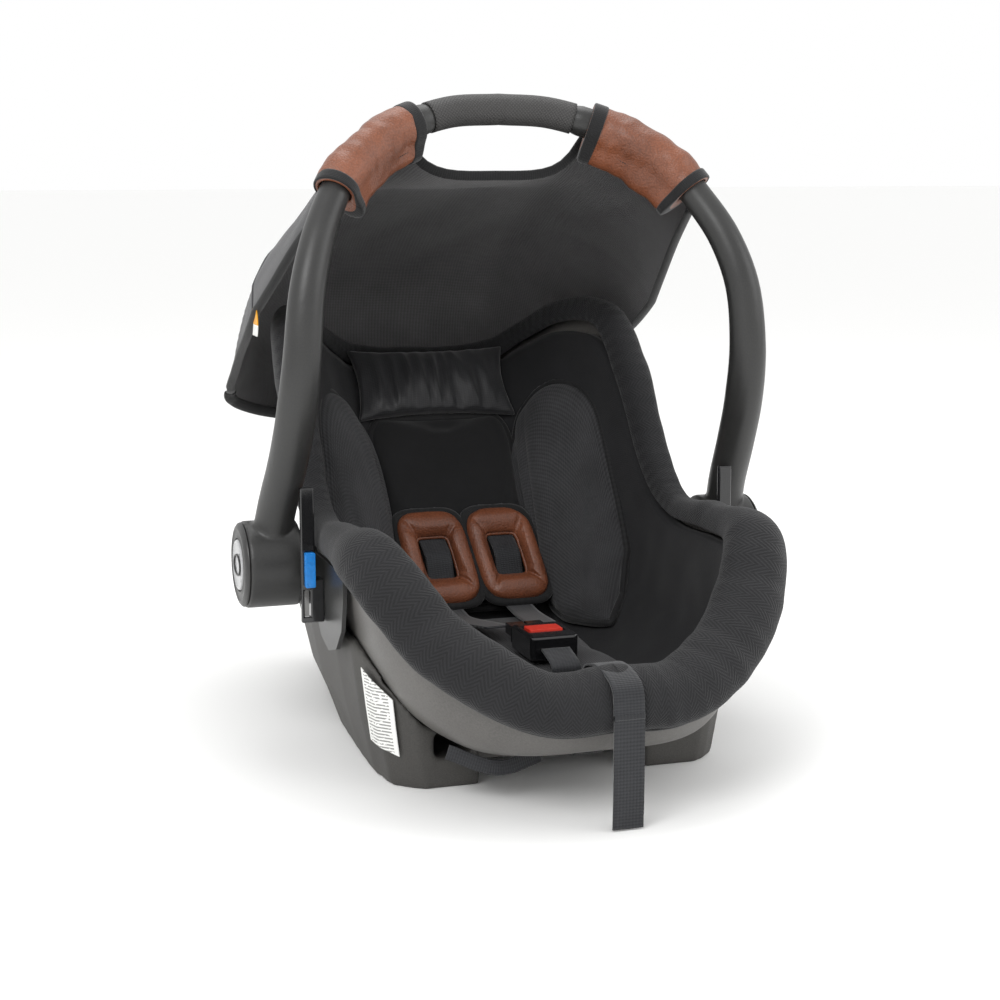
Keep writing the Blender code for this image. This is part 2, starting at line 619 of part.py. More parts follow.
def canopy_point(across, down):
    """Point of the canopy's inner face; across runs -1 to 1, down runs 0 at the handle to 1 at the hem."""
    place = down * (len(CANOPY_LINE) - 1)
    y, z, edge_y, edge_z = (np.interp(place, range(len(line)), [p[k] for p in line])
                            for line in (CANOPY_LINE, CANOPY_EDGE) for k in (0, 1))
    bulge = .016 * math.sin(math.pi * min(down * 1.15, 1))
    wrap = min(max((abs(across) - .35) / .65, 0), 1) ** 1.6
    square = math.copysign(1 - (1 - abs(across)) ** 2.2, across)
    x = square * (CANOPY_HALF + CANOPY_SPREAD * min(down * 2.5, 1) + bulge * .3)
    scoop = max(1 - (across / .27) ** 4, 0) * .032 * max(1 - down * 4, 0)
    y = HUB_Y + (y + (edge_y - y) * wrap) * LENGTH_SHARE
    z = z + (edge_z - z) * wrap - scoop
    return np.array([x, y, z])


across_steps = [-1 + 2 * k / 12 for k in range(13)]
down_steps = [k / 9 for k in range(10)]
inner_canopy = [[canopy_point(a, d) for a in across_steps] for d in down_steps]


def outward(grid, r, c, distance):
    """Grid point moved out square to the grid."""
    rows, columns = len(grid), len(grid[0])
    one = grid[r][min(c + 1, columns - 1)] - grid[r][max(c - 1, 0)]
    two = grid[min(r + 1, rows - 1)][c] - grid[max(r - 1, 0)][c]
    return grid[r][c] + unit(np.cross(one, two)) * distance


outer_canopy = [[outward(inner_canopy, r, c, CANOPY_THICK) for c in range(len(across_steps))]
                for r in range(len(down_steps))]
sheet("canopy", inner_canopy, outer_canopy, "cover_fabric", origin=HINGE)
tag_place = canopy_point(-.93, .42)
box("care_tag", tag_place + np.array([-.0175, -.016, -.040]), tag_place + np.array([-.0160, .004, -.016]),
    "tag_orange")

# Harness.
strap_inset = INSERT_TOP + CLEAR + WEB_THICK / 2
behind = -SHELL_WALL - .006
SLOT_HALF = WEBBING / 2 + .0015
BUCKLE_BACK, BUCKLE_FRONT = .076, .022
BUCKLE_LOW, BUCKLE_TOP = pad_high + .005, pad_high + .026
TONGUE_Z = (BUCKLE_LOW + BUCKLE_TOP) / 2
YOKE_ALONG = .075
for side in (-1, 1):
    tag = "right" if side > 0 else "left"
    x = side * STRAP_X
    path = [back_point(x, YOKE_ALONG + .020, behind), back_point(x, SLOT_ALONG - .010, behind),
            back_point(x, SLOT_ALONG - .001, behind + .005), back_point(x, SLOT_ALONG, INSERT_TOP * .5),
            back_point(x, SLOT_ALONG - .001, strap_inset - .004), back_point(x, SLOT_ALONG - .006, strap_inset),
            back_point(x, .060, strap_inset), back_point(x, .034, strap_inset - .0003),
            np.array([x, BACK_FOOT[1] - .024, pad_high + .002]),
            np.array([x * .95, BACK_FOOT[1] - .056, pad_high + .004]),
            np.array([side * .020, .108, TONGUE_Z])]
    band("shoulder_strap_" + tag, path, WEBBING, WEB_THICK, "webbing")

    pad_low_inset = INSERT_TOP + CLEAR * 2 + WEB_THICK
    pad_end = PAD_TOP_ALONG - PAD_LENGTH
    pad = loft("chest_pad_" + tag, [[back_point(x + a * PAD_WIDTH / 2 * w, along, pad_low_inset + b * PAD_THICK)
                                     for a, b in ((-1, .3), (-.9, 0), (.9, 0), (1, .3), (1, .7), (.85, 1),
                                                  (-.85, 1), (-1, .7))]
                                    for along, w in ((pad_end, .75), (pad_end + .012, 1),
                                                     (PAD_TOP_ALONG - .012, 1), (PAD_TOP_ALONG, .75))],
               "leatherette", smooth=True)
    window = (-WINDOW_WIDTH / 2, WINDOW_WIDTH / 2, pad_end + WINDOW_FROM_END, PAD_TOP_ALONG - WINDOW_FROM_END)
    cut(pad, back_block("pad_window_tool_" + tag, x, window, pad_low_inset - .004,
                        pad_low_inset + PAD_THICK + .01))

    blade = side * .0085
    loft("tongue_" + tag, [[(blade + a * .0075, y, TONGUE_Z + b * thick)
                            for a, b in ((-1, -1), (1, -1), (1, 1), (-1, 1))]
                           for y, thick in ((BUCKLE_BACK - .022, .0012), (BUCKLE_BACK + .006, .0012),
                                            (BUCKLE_BACK + .008, .0045), (BUCKLE_BACK + .030, .0045))],
         "gloss_black")
    slot = (-SLOT_HALF, SLOT_HALF, SLOT_ALONG - .009, SLOT_ALONG + .004)
    strap_tool = back_block("strap_slot_tool_" + tag, x, slot, -.02, INSERT_TOP + .01)
    for piece in (shell, lining, insert_back):
        cut(piece, strap_tool)

band("harness_yoke", [back_point(0, YOKE_ALONG - .010, behind), back_point(0, YOKE_ALONG + .018, behind)],
     STRAP_X * 2 + WEBBING + .004, .002, "steel")

buckle = box("buckle_body", (-.021, BUCKLE_FRONT, BUCKLE_LOW), (.021, BUCKLE_BACK, BUCKLE_TOP), "gloss_black")
cut(buckle, box("tongue_slot_tool", (-.0175, BUCKLE_BACK - .026, TONGUE_Z - .002),
                (.0175, BUCKLE_BACK + .01, TONGUE_Z + .002)))
BUTTON_Y = (.043, .061)
cut(buckle, box("button_well_tool", (-.0150, BUTTON_Y[0], BUCKLE_TOP - .0075),
                (.0150, BUTTON_Y[1], BUCKLE_TOP + .01)))
button_origin = (0, sum(BUTTON_Y) / 2, BUCKLE_TOP)
box("buckle_button", (-.0146, BUTTON_Y[0] + .0004, BUCKLE_TOP - .0045),
    (.0146, BUTTON_Y[1] - .0004, BUCKLE_TOP + .0012), "red_plastic", origin=button_origin)
box("buckle_spring", (-.004, BUTTON_Y[0] + .006, BUCKLE_TOP - .0072),
    (.004, BUTTON_Y[1] - .006, BUCKLE_TOP - .0048), "steel")

CROTCH_Y = -.004
band("crotch_strap", [(0, CROTCH_Y, .0395), (0, CROTCH_Y, pad_high - .004), (0, CROTCH_Y + .0015, pad_high + .008),
                      (0, BUCKLE_FRONT - CLEAR, TONGUE_Z)], WEBBING, WEB_THICK, "webbing")
box("crotch_anchor", (-SLOT_HALF - .004, CROTCH_Y - .008, .0370), (SLOT_HALF + .004, CROTCH_Y + .008, .0390),
    "steel")
crotch_tool = box("crotch_slot_tool", (-SLOT_HALF, CROTCH_Y - .0025, .03), (SLOT_HALF, CROTCH_Y + .0035, .11))
adjust_tool = box("adjuster_slot_tool", (-SLOT_HALF - .0005, -.058, .03), (SLOT_HALF + .0005, -.050, .075))
for piece in (shell, lining, seat_pad):
    cut(piece, crotch_tool)
for piece in (shell, lining):
    cut(piece, adjust_tool)

ADJUST_FLOOR = SHELL_FLOOR + 2 * CLEAR + LINING_THICK
ADJUST_HALF = WEBBING / 2 + .0017
adjuster = box("adjuster_body", (-ADJUST_HALF - .0028, -.066, ADJUST_FLOOR + CLEAR),
               (ADJUST_HALF + .0028, -.036, ADJUST_FLOOR + .012), "steel")
cut(adjuster, box("adjuster_well_tool", (-ADJUST_HALF, -.062, ADJUST_FLOOR - .002),
                  (ADJUST_HALF, -.0385, ADJUST_FLOOR + .02)))
lever_axis = (0, -.041, ADJUST_FLOOR + .009)
box("adjuster_lever", (-ADJUST_HALF + .0004, -.0545, ADJUST_FLOOR + .0065),
    (ADJUST_HALF - .0004, -.0390, ADJUST_FLOOR + .0105), "steel", origin=lever_axis)
band("under_strap", [back_point(0, YOKE_ALONG - .012, behind), back_point(0, .012, behind - .001),
                     (0, BACK_FOOT[1] - .006, SHELL_FLOOR - .0105), (0, .120, SHELL_FLOOR - .0125),
                     (0, -.040, SHELL_FLOOR - .0125), (0, -.0525, SHELL_FLOOR - .0085),
                     (0, -.054, SHELL_FLOOR - .002), (0, -.0545, ADJUST_FLOOR + .0045)], WEBBING, WEB_THICK, "webbing")
roll_front = SHELL_FRONT - SHELL_WALL - ROLL_OUT[0] - .004
roll_top = rim_point(0)[2] + .0265
band("adjuster_strap", [(0, -.0585, ADJUST_FLOOR + .0045), (0, -.060, ADJUST_FLOOR + .016),
                        (0, -.074, roll_top - .010), (0, -.092, roll_top), (0, -.118, roll_top), (0, roll_front + .002, roll_top - .011),
                        (0, roll_front, roll_top - .030), (0, roll_front, .060), (0, roll_front + .001, .0015)],
     WEBBING, WEB_THICK, "webbing")
band("cover_elastic", [(-.110 * WIDTH_SHARE, -.030, .040), (-.075 * WIDTH_SHARE, -.052, .030),
                       (-.035 * WIDTH_SHARE, -.040, .034)], .012, .0016, "webbing",
     across=(0, .3, 1))

# Blank label on the left rocker, round its front corner.
label_lower, label_upper = [], []
for share in (.34, .62, .92):
    low_row, high_row = [], []
    for y in (.008, .021, .036):
        bottom, top, height = (np.interp(y, [row[0] for row in ROCKER_LINE], [row[k] for row in ROCKER_LINE])
                               for k in (1, 2, 3))
        lean = np.interp(share, (0, .4, 1), (0, .55, 1))
        surface = np.array([-(bottom + (top - bottom) * lean), y, height * share])
        low_row.append(surface + np.array([-.0030, -.0010, 0]))
        high_row.append(surface + np.array([-.0037, -.0012, 0]))
    label_lower.append(low_row)
    label_upper.append(high_row)
sheet("info_label", label_lower, label_upper, "label_white", smooth=False)
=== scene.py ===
import math
import bpy
import numpy as np
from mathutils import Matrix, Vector, noise


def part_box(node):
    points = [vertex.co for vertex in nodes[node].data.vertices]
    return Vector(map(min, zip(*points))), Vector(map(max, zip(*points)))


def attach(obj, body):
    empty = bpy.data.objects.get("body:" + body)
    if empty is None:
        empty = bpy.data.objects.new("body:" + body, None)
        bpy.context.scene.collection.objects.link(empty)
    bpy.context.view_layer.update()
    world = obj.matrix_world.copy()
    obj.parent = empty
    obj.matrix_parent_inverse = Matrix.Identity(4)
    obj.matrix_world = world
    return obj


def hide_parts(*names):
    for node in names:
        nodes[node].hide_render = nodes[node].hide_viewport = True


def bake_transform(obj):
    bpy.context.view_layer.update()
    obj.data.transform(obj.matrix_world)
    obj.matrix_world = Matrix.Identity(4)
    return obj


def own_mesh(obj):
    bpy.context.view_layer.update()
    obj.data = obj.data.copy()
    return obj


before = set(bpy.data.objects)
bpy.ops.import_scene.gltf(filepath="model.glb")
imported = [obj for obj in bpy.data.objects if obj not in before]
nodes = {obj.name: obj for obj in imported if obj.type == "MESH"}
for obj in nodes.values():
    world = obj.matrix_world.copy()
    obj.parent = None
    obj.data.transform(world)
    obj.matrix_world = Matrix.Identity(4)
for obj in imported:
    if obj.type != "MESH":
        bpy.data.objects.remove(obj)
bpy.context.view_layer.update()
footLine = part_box("rocker_right")[0].y
print("frame loaded:", len(nodes), "nodes")

# the studio: pale floor and three soft lights
studio = {
    "cameraPlace": (-0.540, -1.6497, 0.505), "cameraTurn": (80.1, 0, -18.3), "lens": 70.2,
    "floorColour": "#fbfbfa", "worldColour": "#ffffff", "worldStrength": 1.0,
    "keyPower": 26, "fillPower": 9, "topPower": 16,
}


def linear(code):
    parts = [int(code[i:i + 2], 16) / 255 for i in (1, 3, 5)]
    return tuple(p / 12.92 if p <= 0.04045 else ((p + 0.055) / 1.055) ** 2.4 for p in parts) + (1.0,)


def deselectAll():
    if bpy.context.object and bpy.context.object.mode != "OBJECT":
        bpy.ops.object.mode_set(mode="OBJECT")
    bpy.ops.object.select_all(action="DESELECT")


def makeActive(piece):
    deselectAll()
    piece.select_set(True)
    bpy.context.view_layer.objects.active = piece


def applyAll(piece):
    makeActive(piece)
    for modifier in list(piece.modifiers):
        bpy.ops.object.modifier_apply(modifier=modifier.name)
    return piece


def smoothShade(piece, angle=None):
    makeActive(piece)
    if angle is None:
        bpy.ops.object.shade_smooth()
    else:
        bpy.ops.object.shade_smooth_by_angle(angle=math.radians(angle))
    return piece


def addModifier(piece, kind, **settings):
    made = piece.modifiers.new(kind.lower(), kind)
    for key, value in settings.items():
        setattr(made, key, value)
    return made


def subdivided(piece, levels=1):
    addModifier(piece, "SUBSURF", levels=levels, render_levels=levels)
    return applyAll(piece)


def editAll(action="SELECT"):
    bpy.ops.object.mode_set(mode="EDIT")
    bpy.ops.mesh.select_all(action=action)


def fixNormals(piece):
    makeActive(piece)
    editAll()
    bpy.ops.mesh.remove_doubles(threshold=0.00002)
    bpy.ops.mesh.normals_make_consistent(inside=False)
    bpy.ops.object.mode_set(mode="OBJECT")
    return piece


# the materials, each from what the real one is
def addNode(tree, kind, settings=None, links=None):
    made = tree.nodes.new(kind)
    for key, value in (settings or {}).items():
        if isinstance(key, int) or key in made.inputs:
            made.inputs[key].default_value = value
        else:
            setattr(made, key, value)
    for key, source in (links or {}).items():
        tree.links.new(source, made.inputs[key])
    return made


def newMaterial(name, shader):
    made = bpy.data.materials.new(name)
    made.use_nodes = True
    body = made.node_tree.nodes["Principled BSDF"]
    for key, value in shader.items():
        body.inputs[key].default_value = value
    return made, made.node_tree, body


def colourBetween(tree, share, low, high):
    ramp = addNode(tree, "ShaderNodeMix", {"data_type": "RGBA"})
    ramp.inputs[6].default_value = linear(low)
    ramp.inputs[7].default_value = linear(high)
    tree.links.new(share, ramp.inputs[0])
    return ramp.outputs[2]


def withNumber(tree, operation, value, number, spread=0.0):
    settings = {"operation": operation, 1: number, 2: spread}
    return addNode(tree, "ShaderNodeMath", settings, {0: value}).outputs[0]


def colourFrom(tree, body, share, low, high):
    tree.links.new(colourBetween(tree, share, low, high), body.inputs["Base Color"])


def objectPlace(tree):
    return addNode(tree, "ShaderNodeTexCoord").outputs["Object"]


def waveOf(tree, value, pitch):
    turns = withNumber(tree, "MULTIPLY", value, math.tau / pitch)
    return addNode(tree, "ShaderNodeMath", {"operation": "SINE"}, {0: turns}).outputs[0]


def sumOf(tree, first, second, operation="ADD"):
    return addNode(tree, "ShaderNodeMath", {"operation": operation}, {0: first, 1: second}).outputs[0]


def slanted(tree, u, v, pitch):
    # two rows of waves that cross each other
    return waveOf(tree, sumOf(tree, u, v), pitch), waveOf(tree, sumOf(tree, u, v, "SUBTRACT"), pitch)


def noiseOf(tree, place, scale, detail, **more):
    return addNode(tree, "ShaderNodeTexNoise", {"Scale": scale, "Detail": detail, **more},
                   {"Vector": place}).outputs[0]


def stretched(tree, place, scale):
    return addNode(tree, "ShaderNodeMapping", {"Scale": scale}, {"Vector": place}).outputs[0]


def remapped(tree, value, low, high, toLow=0.0, toHigh=1.0):
    made = addNode(tree, "ShaderNodeMapRange", {1: low, 2: high, 3: toLow, 4: toHigh}, {0: value})
    return made.outputs[0]


def bumpFrom(tree, body, height, distance):
    made = addNode(tree, "ShaderNodeBump", {"Strength": 1.0, "Distance": distance}, {"Height": height})
    tree.links.new(made.outputs[0], body.inputs["Normal"])


def mouldedPlastic(name, low, high, roughness, grain, depth, coat=0.0):
    # injection moulded with a spark-eroded grain: the eye gets a soft, faintly speckled sheen
    made, tree, body = newMaterial(name, {"Roughness": roughness, "IOR": 1.49, "Coat Weight": coat,
                                          "Coat Roughness": 0.12})
    place = objectPlace(tree)
    speck = noiseOf(tree, place, 1 / grain, 3.0, Roughness=0.7)
    cloud = noiseOf(tree, place, 14.0, 4.0)
    mixed = sumOf(tree, remapped(tree, speck, 0.3, 0.7, 0, 0.6), remapped(tree, cloud, 0.3, 0.7, 0, 0.4))
    colourFrom(tree, body, mixed, low, high)
    tree.links.new(remapped(tree, cloud, 0.3, 0.7, roughness - 0.06, roughness + 0.06),
                   body.inputs["Roughness"])
    bumpFrom(tree, body, speck, depth)
    return made


def wovenCloth(name, low, high, pattern, pitch, depth, sheen=0.25, roughness=0.85, useUv=True):
    # polyester cloth over wadding: matt, with a pale sheen where it turns away
    made, tree, body = newMaterial(name, {"Roughness": roughness, "Sheen Weight": sheen,
                                          "Sheen Roughness": 0.45, "Specular IOR Level": 0.25})
    source = addNode(tree, "ShaderNodeTexCoord")
    split = addNode(tree, "ShaderNodeSeparateXYZ", links={0: source.outputs["UV" if useUv else "Object"]})
    u, v = split.outputs[0], split.outputs[1]
    if not useUv:
        u = sumOf(tree, u, split.outputs[2])
        v = sumOf(tree, v, split.outputs[2], "SUBTRACT")
    if pattern == "herringbone":
        bend = withNumber(tree, "PINGPONG", u, pitch * 2.4)
        lines = waveOf(tree, sumOf(tree, v, bend), pitch)
        thread = waveOf(tree, u, pitch * 0.5)
        height = sumOf(tree, remapped(tree, lines, -1, 1, 0, 0.8), remapped(tree, thread, -1, 1, 0, 0.2))
    elif pattern == "diamond":
        height = remapped(tree, sumOf(tree, *slanted(tree, u, v, pitch), "MULTIPLY"), -1, 1)
    elif pattern == "ribbed":
        rib = waveOf(tree, v, pitch)
        column = waveOf(tree, u, pitch * 1.3)
        height = sumOf(tree, remapped(tree, rib, -1, 1, 0, 0.65), remapped(tree, column, -1, 1, 0, 0.35))
    else:
        crossed = sumOf(tree, waveOf(tree, u, pitch), waveOf(tree, v, pitch), "MULTIPLY")
        height = remapped(tree, crossed, -1, 1)
    mottle = noiseOf(tree, source.outputs["Object"], 22.0, 5.0, Roughness=0.6)
    fuzz = noiseOf(tree, source.outputs["Object"], 900.0, 2.0)
    share = sumOf(tree, remapped(tree, height, 0, 1, 0, 0.55), remapped(tree, mottle, 0.3, 0.7, 0, 0.30))
    share = sumOf(tree, share, remapped(tree, fuzz, 0.3, 0.7, 0, 0.15))
    colourFrom(tree, body, share, low, high)
    bumpFrom(tree, body, sumOf(tree, height, remapped(tree, fuzz, 0, 1, 0, 0.5)), depth)
    return made


def grainedLeather(name, low, high, grain, depth):
    # polyurethane leatherette: soft highlights broken by small pebbles, with painted shade darker in the
    # creases between them and the pebble tops painted lighter
    made, tree, body = newMaterial(name, {"Roughness": 0.42, "IOR": 1.48, "Coat Weight": 0.18,
                                          "Coat Roughness": 0.3})
    place = objectPlace(tree)
    cells = addNode(tree, "ShaderNodeTexVoronoi", {"feature": "SMOOTH_F1", "Scale": 1 / grain,
                                                   "Smoothness": 0.6}, {"Vector": place}).outputs[0]
    cloud = noiseOf(tree, place, 30.0, 4.0)
    # painted shade and highlight: the colour runs from light at each pebble's middle to dark at its crease,
    # with random cloud tone added
    share = sumOf(tree, remapped(tree, cells, 0, 0.8, 0.6, 0.1), remapped(tree, cloud, 0.3, 0.7, 0, 0.45))
    colourFrom(tree, body, share, low, high)
    tree.links.new(remapped(tree, cells, 0, 0.8, 0.36, 0.5), body.inputs["Roughness"])
    bumpFrom(tree, body, remapped(tree, cells, 0, 0.8, 1, 0), depth)
    return made


def brushedSteel(name):
    # zinc plated pressed steel: grey, streaked along its length
    made, tree, body = newMaterial(name, {"Metallic": 1.0, "Roughness": 0.32})
    place = objectPlace(tree)
    streak = noiseOf(tree, stretched(tree, place, (900, 40, 900)), 1.0, 3.0)
    colourFrom(tree, body, streak, "#8b8d90", "#b9bbbe")
    tree.links.new(remapped(tree, streak, 0.3, 0.7, 0.24, 0.42), body.inputs["Roughness"])
    return made


def gripRubber(name):
    # thermoplastic rubber moulded with a fine crosshatch; the tiny lozenges are painted lighter and the
    # grooves between them carry painted shade
    made, tree, body = newMaterial(name, {"Roughness": 0.55, "IOR": 1.5})
    source = addNode(tree, "ShaderNodeTexCoord")
    split = addNode(tree, "ShaderNodeSeparateXYZ", links={0: source.outputs["UV"]})
    u, v = split.outputs[0], split.outputs[1]
    hatch = sumOf(tree, *slanted(tree, u, v, 0.0032), "MAXIMUM")
    # painted shade in the grooves and painted highlight on the raised lozenges: the colour follows the same
    # hatch as the bump
    share = remapped(tree, hatch, 0.2, 1.0)
    colourFrom(tree, body, share, "#403f3e", "#2e2d2d")
    bumpFrom(tree, body, remapped(tree, hatch, 0.2, 1.0, 1, 0), 0.0003)
    return made


def printedLabel(name):
    # coated paper with rows of grey bars in place of words, laid out from the label's own corners
    made, tree, body = newMaterial(name, {"Roughness": 0.5})
    low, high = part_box("info_label")
    place = objectPlace(tree)
    split = addNode(tree, "ShaderNodeSeparateXYZ", links={0: place})
    rows = addNode(tree, "ShaderNodeMath", {"operation": "FRACT"},
                   {0: withNumber(tree, "MULTIPLY", split.outputs[2], 360.0)}).outputs[0]
    bar = withNumber(tree, "LESS_THAN", rows, 0.45)
    gaps = noiseOf(tree, stretched(tree, place, (60, 300, 420)), 1.0, 1.0)
    word = withNumber(tree, "GREATER_THAN", gaps, 0.40)
    inside = withNumber(tree, "COMPARE", split.outputs[1], (low.y + high.y) / 2, (high.y - low.y) * 0.40)
    ink = sumOf(tree, sumOf(tree, bar, word, "MULTIPLY"), inside, "MULTIPLY")
    colourFrom(tree, body, ink, "#ecece9", "#8d8d8b")
    return made


finishes = {
    "baseGrain": mouldedPlastic("polypropyleneBase", "#32312f", "#4c4a47", 0.56, 0.0011, 0.00030),
    "shellSmooth": mouldedPlastic("polypropyleneShell", "#52504e", "#6b6966", 0.42, 0.0016, 0.00006),
    "satinGrey": mouldedPlastic("absSatin", "#232323", "#353534", 0.36, 0.0009, 0.00010),
    "glossBlack": mouldedPlastic("absGloss", "#0d0d0e", "#1b1b1d", 0.16, 0.004, 0.00002, 0.5),
    "clearBlue": mouldedPlastic("acetalBlue", "#0a6fc0", "#128fe6", 0.3, 0.003, 0.00003, 0.3),
    "signalRed": mouldedPlastic("acetalRed", "#c92a20", "#e2402f", 0.3, 0.003, 0.00003, 0.3),
    "silverBadge": mouldedPlastic("absSilver", "#8f9091", "#adaeaf", 0.28, 0.003, 0.00003, 0.4),
    "tagOrange": wovenCloth("ribbonOrange", "#d68f12", "#f2b02c", "ribbed", 0.0010, 0.0001),
    "tagWhite": wovenCloth("ribbonWhite", "#d8d8d4", "#f2f2ee", "ribbed", 0.0010, 0.0001),
    "steel": brushedSteel("zincSteel"),
    "grip": gripRubber("gripRubber"),
    "label": printedLabel("printedLabel"),
    "leather": grainedLeather("brownLeatherette", "#5a3220", "#8a5034", 0.0016, 0.00035),
    "herringbone": wovenCloth("herringboneTwill", "#171718", "#2d2d2f", "herringbone", 0.0026, 0.00040,
                              sheen=0.12),
    "plainDark": wovenCloth("plainPolyester", "#171718", "#2a2a2c", "plain", 0.0018, 0.00012, sheen=0.12),
    "suede": wovenCloth("brushedTricot", "#151516", "#232324", "plain", 0.0016, 0.00010, sheen=0.25,
                        roughness=0.95),
    "satinDark": wovenCloth("satinPolyester", "#1b1b1c", "#3a3a3c", "ribbed", 0.0016, 0.00006, sheen=0.3,
                            roughness=0.34),
    "diamond": wovenCloth("diamondDobby", "#1f1f20", "#4a4a4c", "diamond", 0.0046, 0.00045, sheen=0.15),
    "canopyIn": wovenCloth("canopyLining", "#363536", "#5c5b5c", "diamond", 0.0044, 0.00045,
                           roughness=0.75),
    "canopyOut": wovenCloth("canopyShell", "#2a2a2c", "#444446", "plain", 0.0024, 0.00020),
    "webbing": wovenCloth("polyesterWebbing", "#16171a", "#38393c", "ribbed", 0.0021, 0.00030,
                          roughness=0.5),
    "binding": wovenCloth("grosgrainBinding", "#0d0d0e", "#242425", "ribbed", 0.0014, 0.00020,
                          roughness=0.7),
    "thread": wovenCloth("bondedThread", "#1b1b1c", "#343436", "plain", 0.0008, 0.00005, useUv=False),
}


def paint(piece, *names):
    piece.data.materials.clear()
    for name in names:
        piece.data.materials.append(finishes[name])
    return piece


print("materials made:", len(finishes))

# the seat's own lines, in metres from the rockers' front face, as the shell was drawn
shell = {
    "front": -0.112, "length": 0.566, "halfWidth": 0.168, "floor": 0.048, "depth": 0.312, "wall": 0.0035,
    "floorFront": -0.072, "floorLength": 0.318, "floorHalf": 0.090, "lining": 0.008, "gap": 0.0005,
    "curvedTo": 6.0, "easesOver": 4.5,
}
rimLine = ((0, 0, .141), (.36, .012, .147), (.74, .085, .27), (.965, .177, .445), (1, .30, .458),
           (1, .46, .455), (1, .563, .56), (.985, .66, .80), (.95, .75, .96), (.82, .845, .965),
           (.655, .925, .89), (.44, .954, .82), (0, .956, .80))
floorOutline = ((0, 0), (.55, 0), (.86, .035), (.97, .13), (1, .27), (1, .48), (1, .64), (1, .78), (1, .87),
                (.98, .94), (.94, .985), (.80, 1), (0, 1))
lastPlace = len(rimLine) - 1
mirror = np.array([-1.0, 1.0, 1.0])


def unit(vector):
    vector = np.array(vector, float)
    return vector / max(np.linalg.norm(vector), 1e-12)


def clamped(value):
    return min(max(value, 0.0), 1.0)


def curveBetween(before, start, end, after, part):
    # a smooth point between two of four in a row
    return 0.5 * (2 * start + (end - before) * part + (2 * before - 5 * start + 4 * end - after) * part ** 2
                  + (3 * start - before - 3 * end + after) * part ** 3)


def directionAt(path, i):
    return unit(path[min(i + 1, len(path) - 1)] - path[max(i - 1, 0)])


def lengthOf(path):
    return sum(np.linalg.norm(path[i + 1] - path[i]) for i in range(len(path) - 1))


def through(points, share, closed=False):
    # a smooth point at a share of the way along a row of points
    points = np.array(points, float)
    count = len(points)
    spans = count if closed else count - 1
    place = clamped(share) * spans
    low = min(int(place), spans - 1)
    part = place - low
    if closed:
        before, start, end, after = (points[(low + k) % count] for k in (-1, 0, 1, 2))
    else:
        start, end = points[low], points[low + 1]
        before = points[low - 1] if low else 2 * start - end
        after = points[low + 2] if low + 2 < count else 2 * end - start
    return curveBetween(before, start, end, after, part)


def onOutline(line, place):
    low = min(int(place), lastPlace - 1)
    part = place - low
    before, start, end, after = (np.array(line[min(max(k, 0), lastPlace)], float)
                                 for k in range(low - 1, low + 3))
    if low == 0:
        before = np.array([-line[1][0], *line[1][1:]])
    if low + 2 > lastPlace:
        after = np.array([-line[lastPlace - 1][0], *line[lastPlace - 1][1:]])
    return curveBetween(before, start, end, after, part)


def rimPoint(place):
    x, y, z = onOutline(rimLine, place)
    return np.array([x * shell["halfWidth"], shell["front"] + y * shell["length"],
                     shell["floor"] + z * shell["depth"]])


def floorPoint(place):
    x, y = onOutline(floorOutline, place)
    return np.array([x * shell["floorHalf"], shell["floorFront"] + y * shell["floorLength"],
                     shell["floor"]])


def wallPoint(place, rise):
    # from the floor's edge at 0 to the rim at 1, turning up in a curve at the feet and straight at the back
    low, high = floorPoint(place), rimPoint(place)
    part = clamped((place - shell["curvedTo"]) / shell["easesOver"])
    straight = part * part * (3 - 2 * part)
    across = math.sin(rise * math.pi / 2) * (1 - straight) + rise * straight
    up = (1 - math.cos(rise * math.pi / 2)) * (1 - straight) + rise * straight
    return np.array([low[0] + (high[0] - low[0]) * across, low[1] + (high[1] - low[1]) * across,
                     low[2] + (high[2] - low[2]) * up])


def wallNormal(place, rise):
    near, far = max(place - 0.02, 0), min(place + 0.02, lastPlace)
    under, over = max(rise - 0.02, 0.001), min(max(rise, 0.001) + 0.02, 1)
    return unit(np.cross(wallPoint(place, over) - wallPoint(place, under),
                         wallPoint(far, rise) - wallPoint(near, rise)))


def layerPoint(place, rise, inset):
    normal = wallNormal(place, rise)
    if rise > 0:
        return wallPoint(place, rise) + normal * inset
    return wallPoint(place, 0) + (np.array([0, 0, 1.0]) + normal) / (1 + normal[2]) * inset


def loopPlace(share):
    # once round the seat from the foot end's middle: the place on its line and its side's factors
    if share <= 0.5:
        return lastPlace * 2 * share, np.ones(3)
    return lastPlace * 2 * (1 - share), mirror


def ripple(point, pitch, depth, stretch=(1, 1, 1), seed=0.0):
    sample = Vector((point[0] * stretch[0] / pitch + seed, point[1] * stretch[1] / pitch - seed,
                     point[2] * stretch[2] / pitch + 2 * seed))
    return noise.noise(sample) * depth


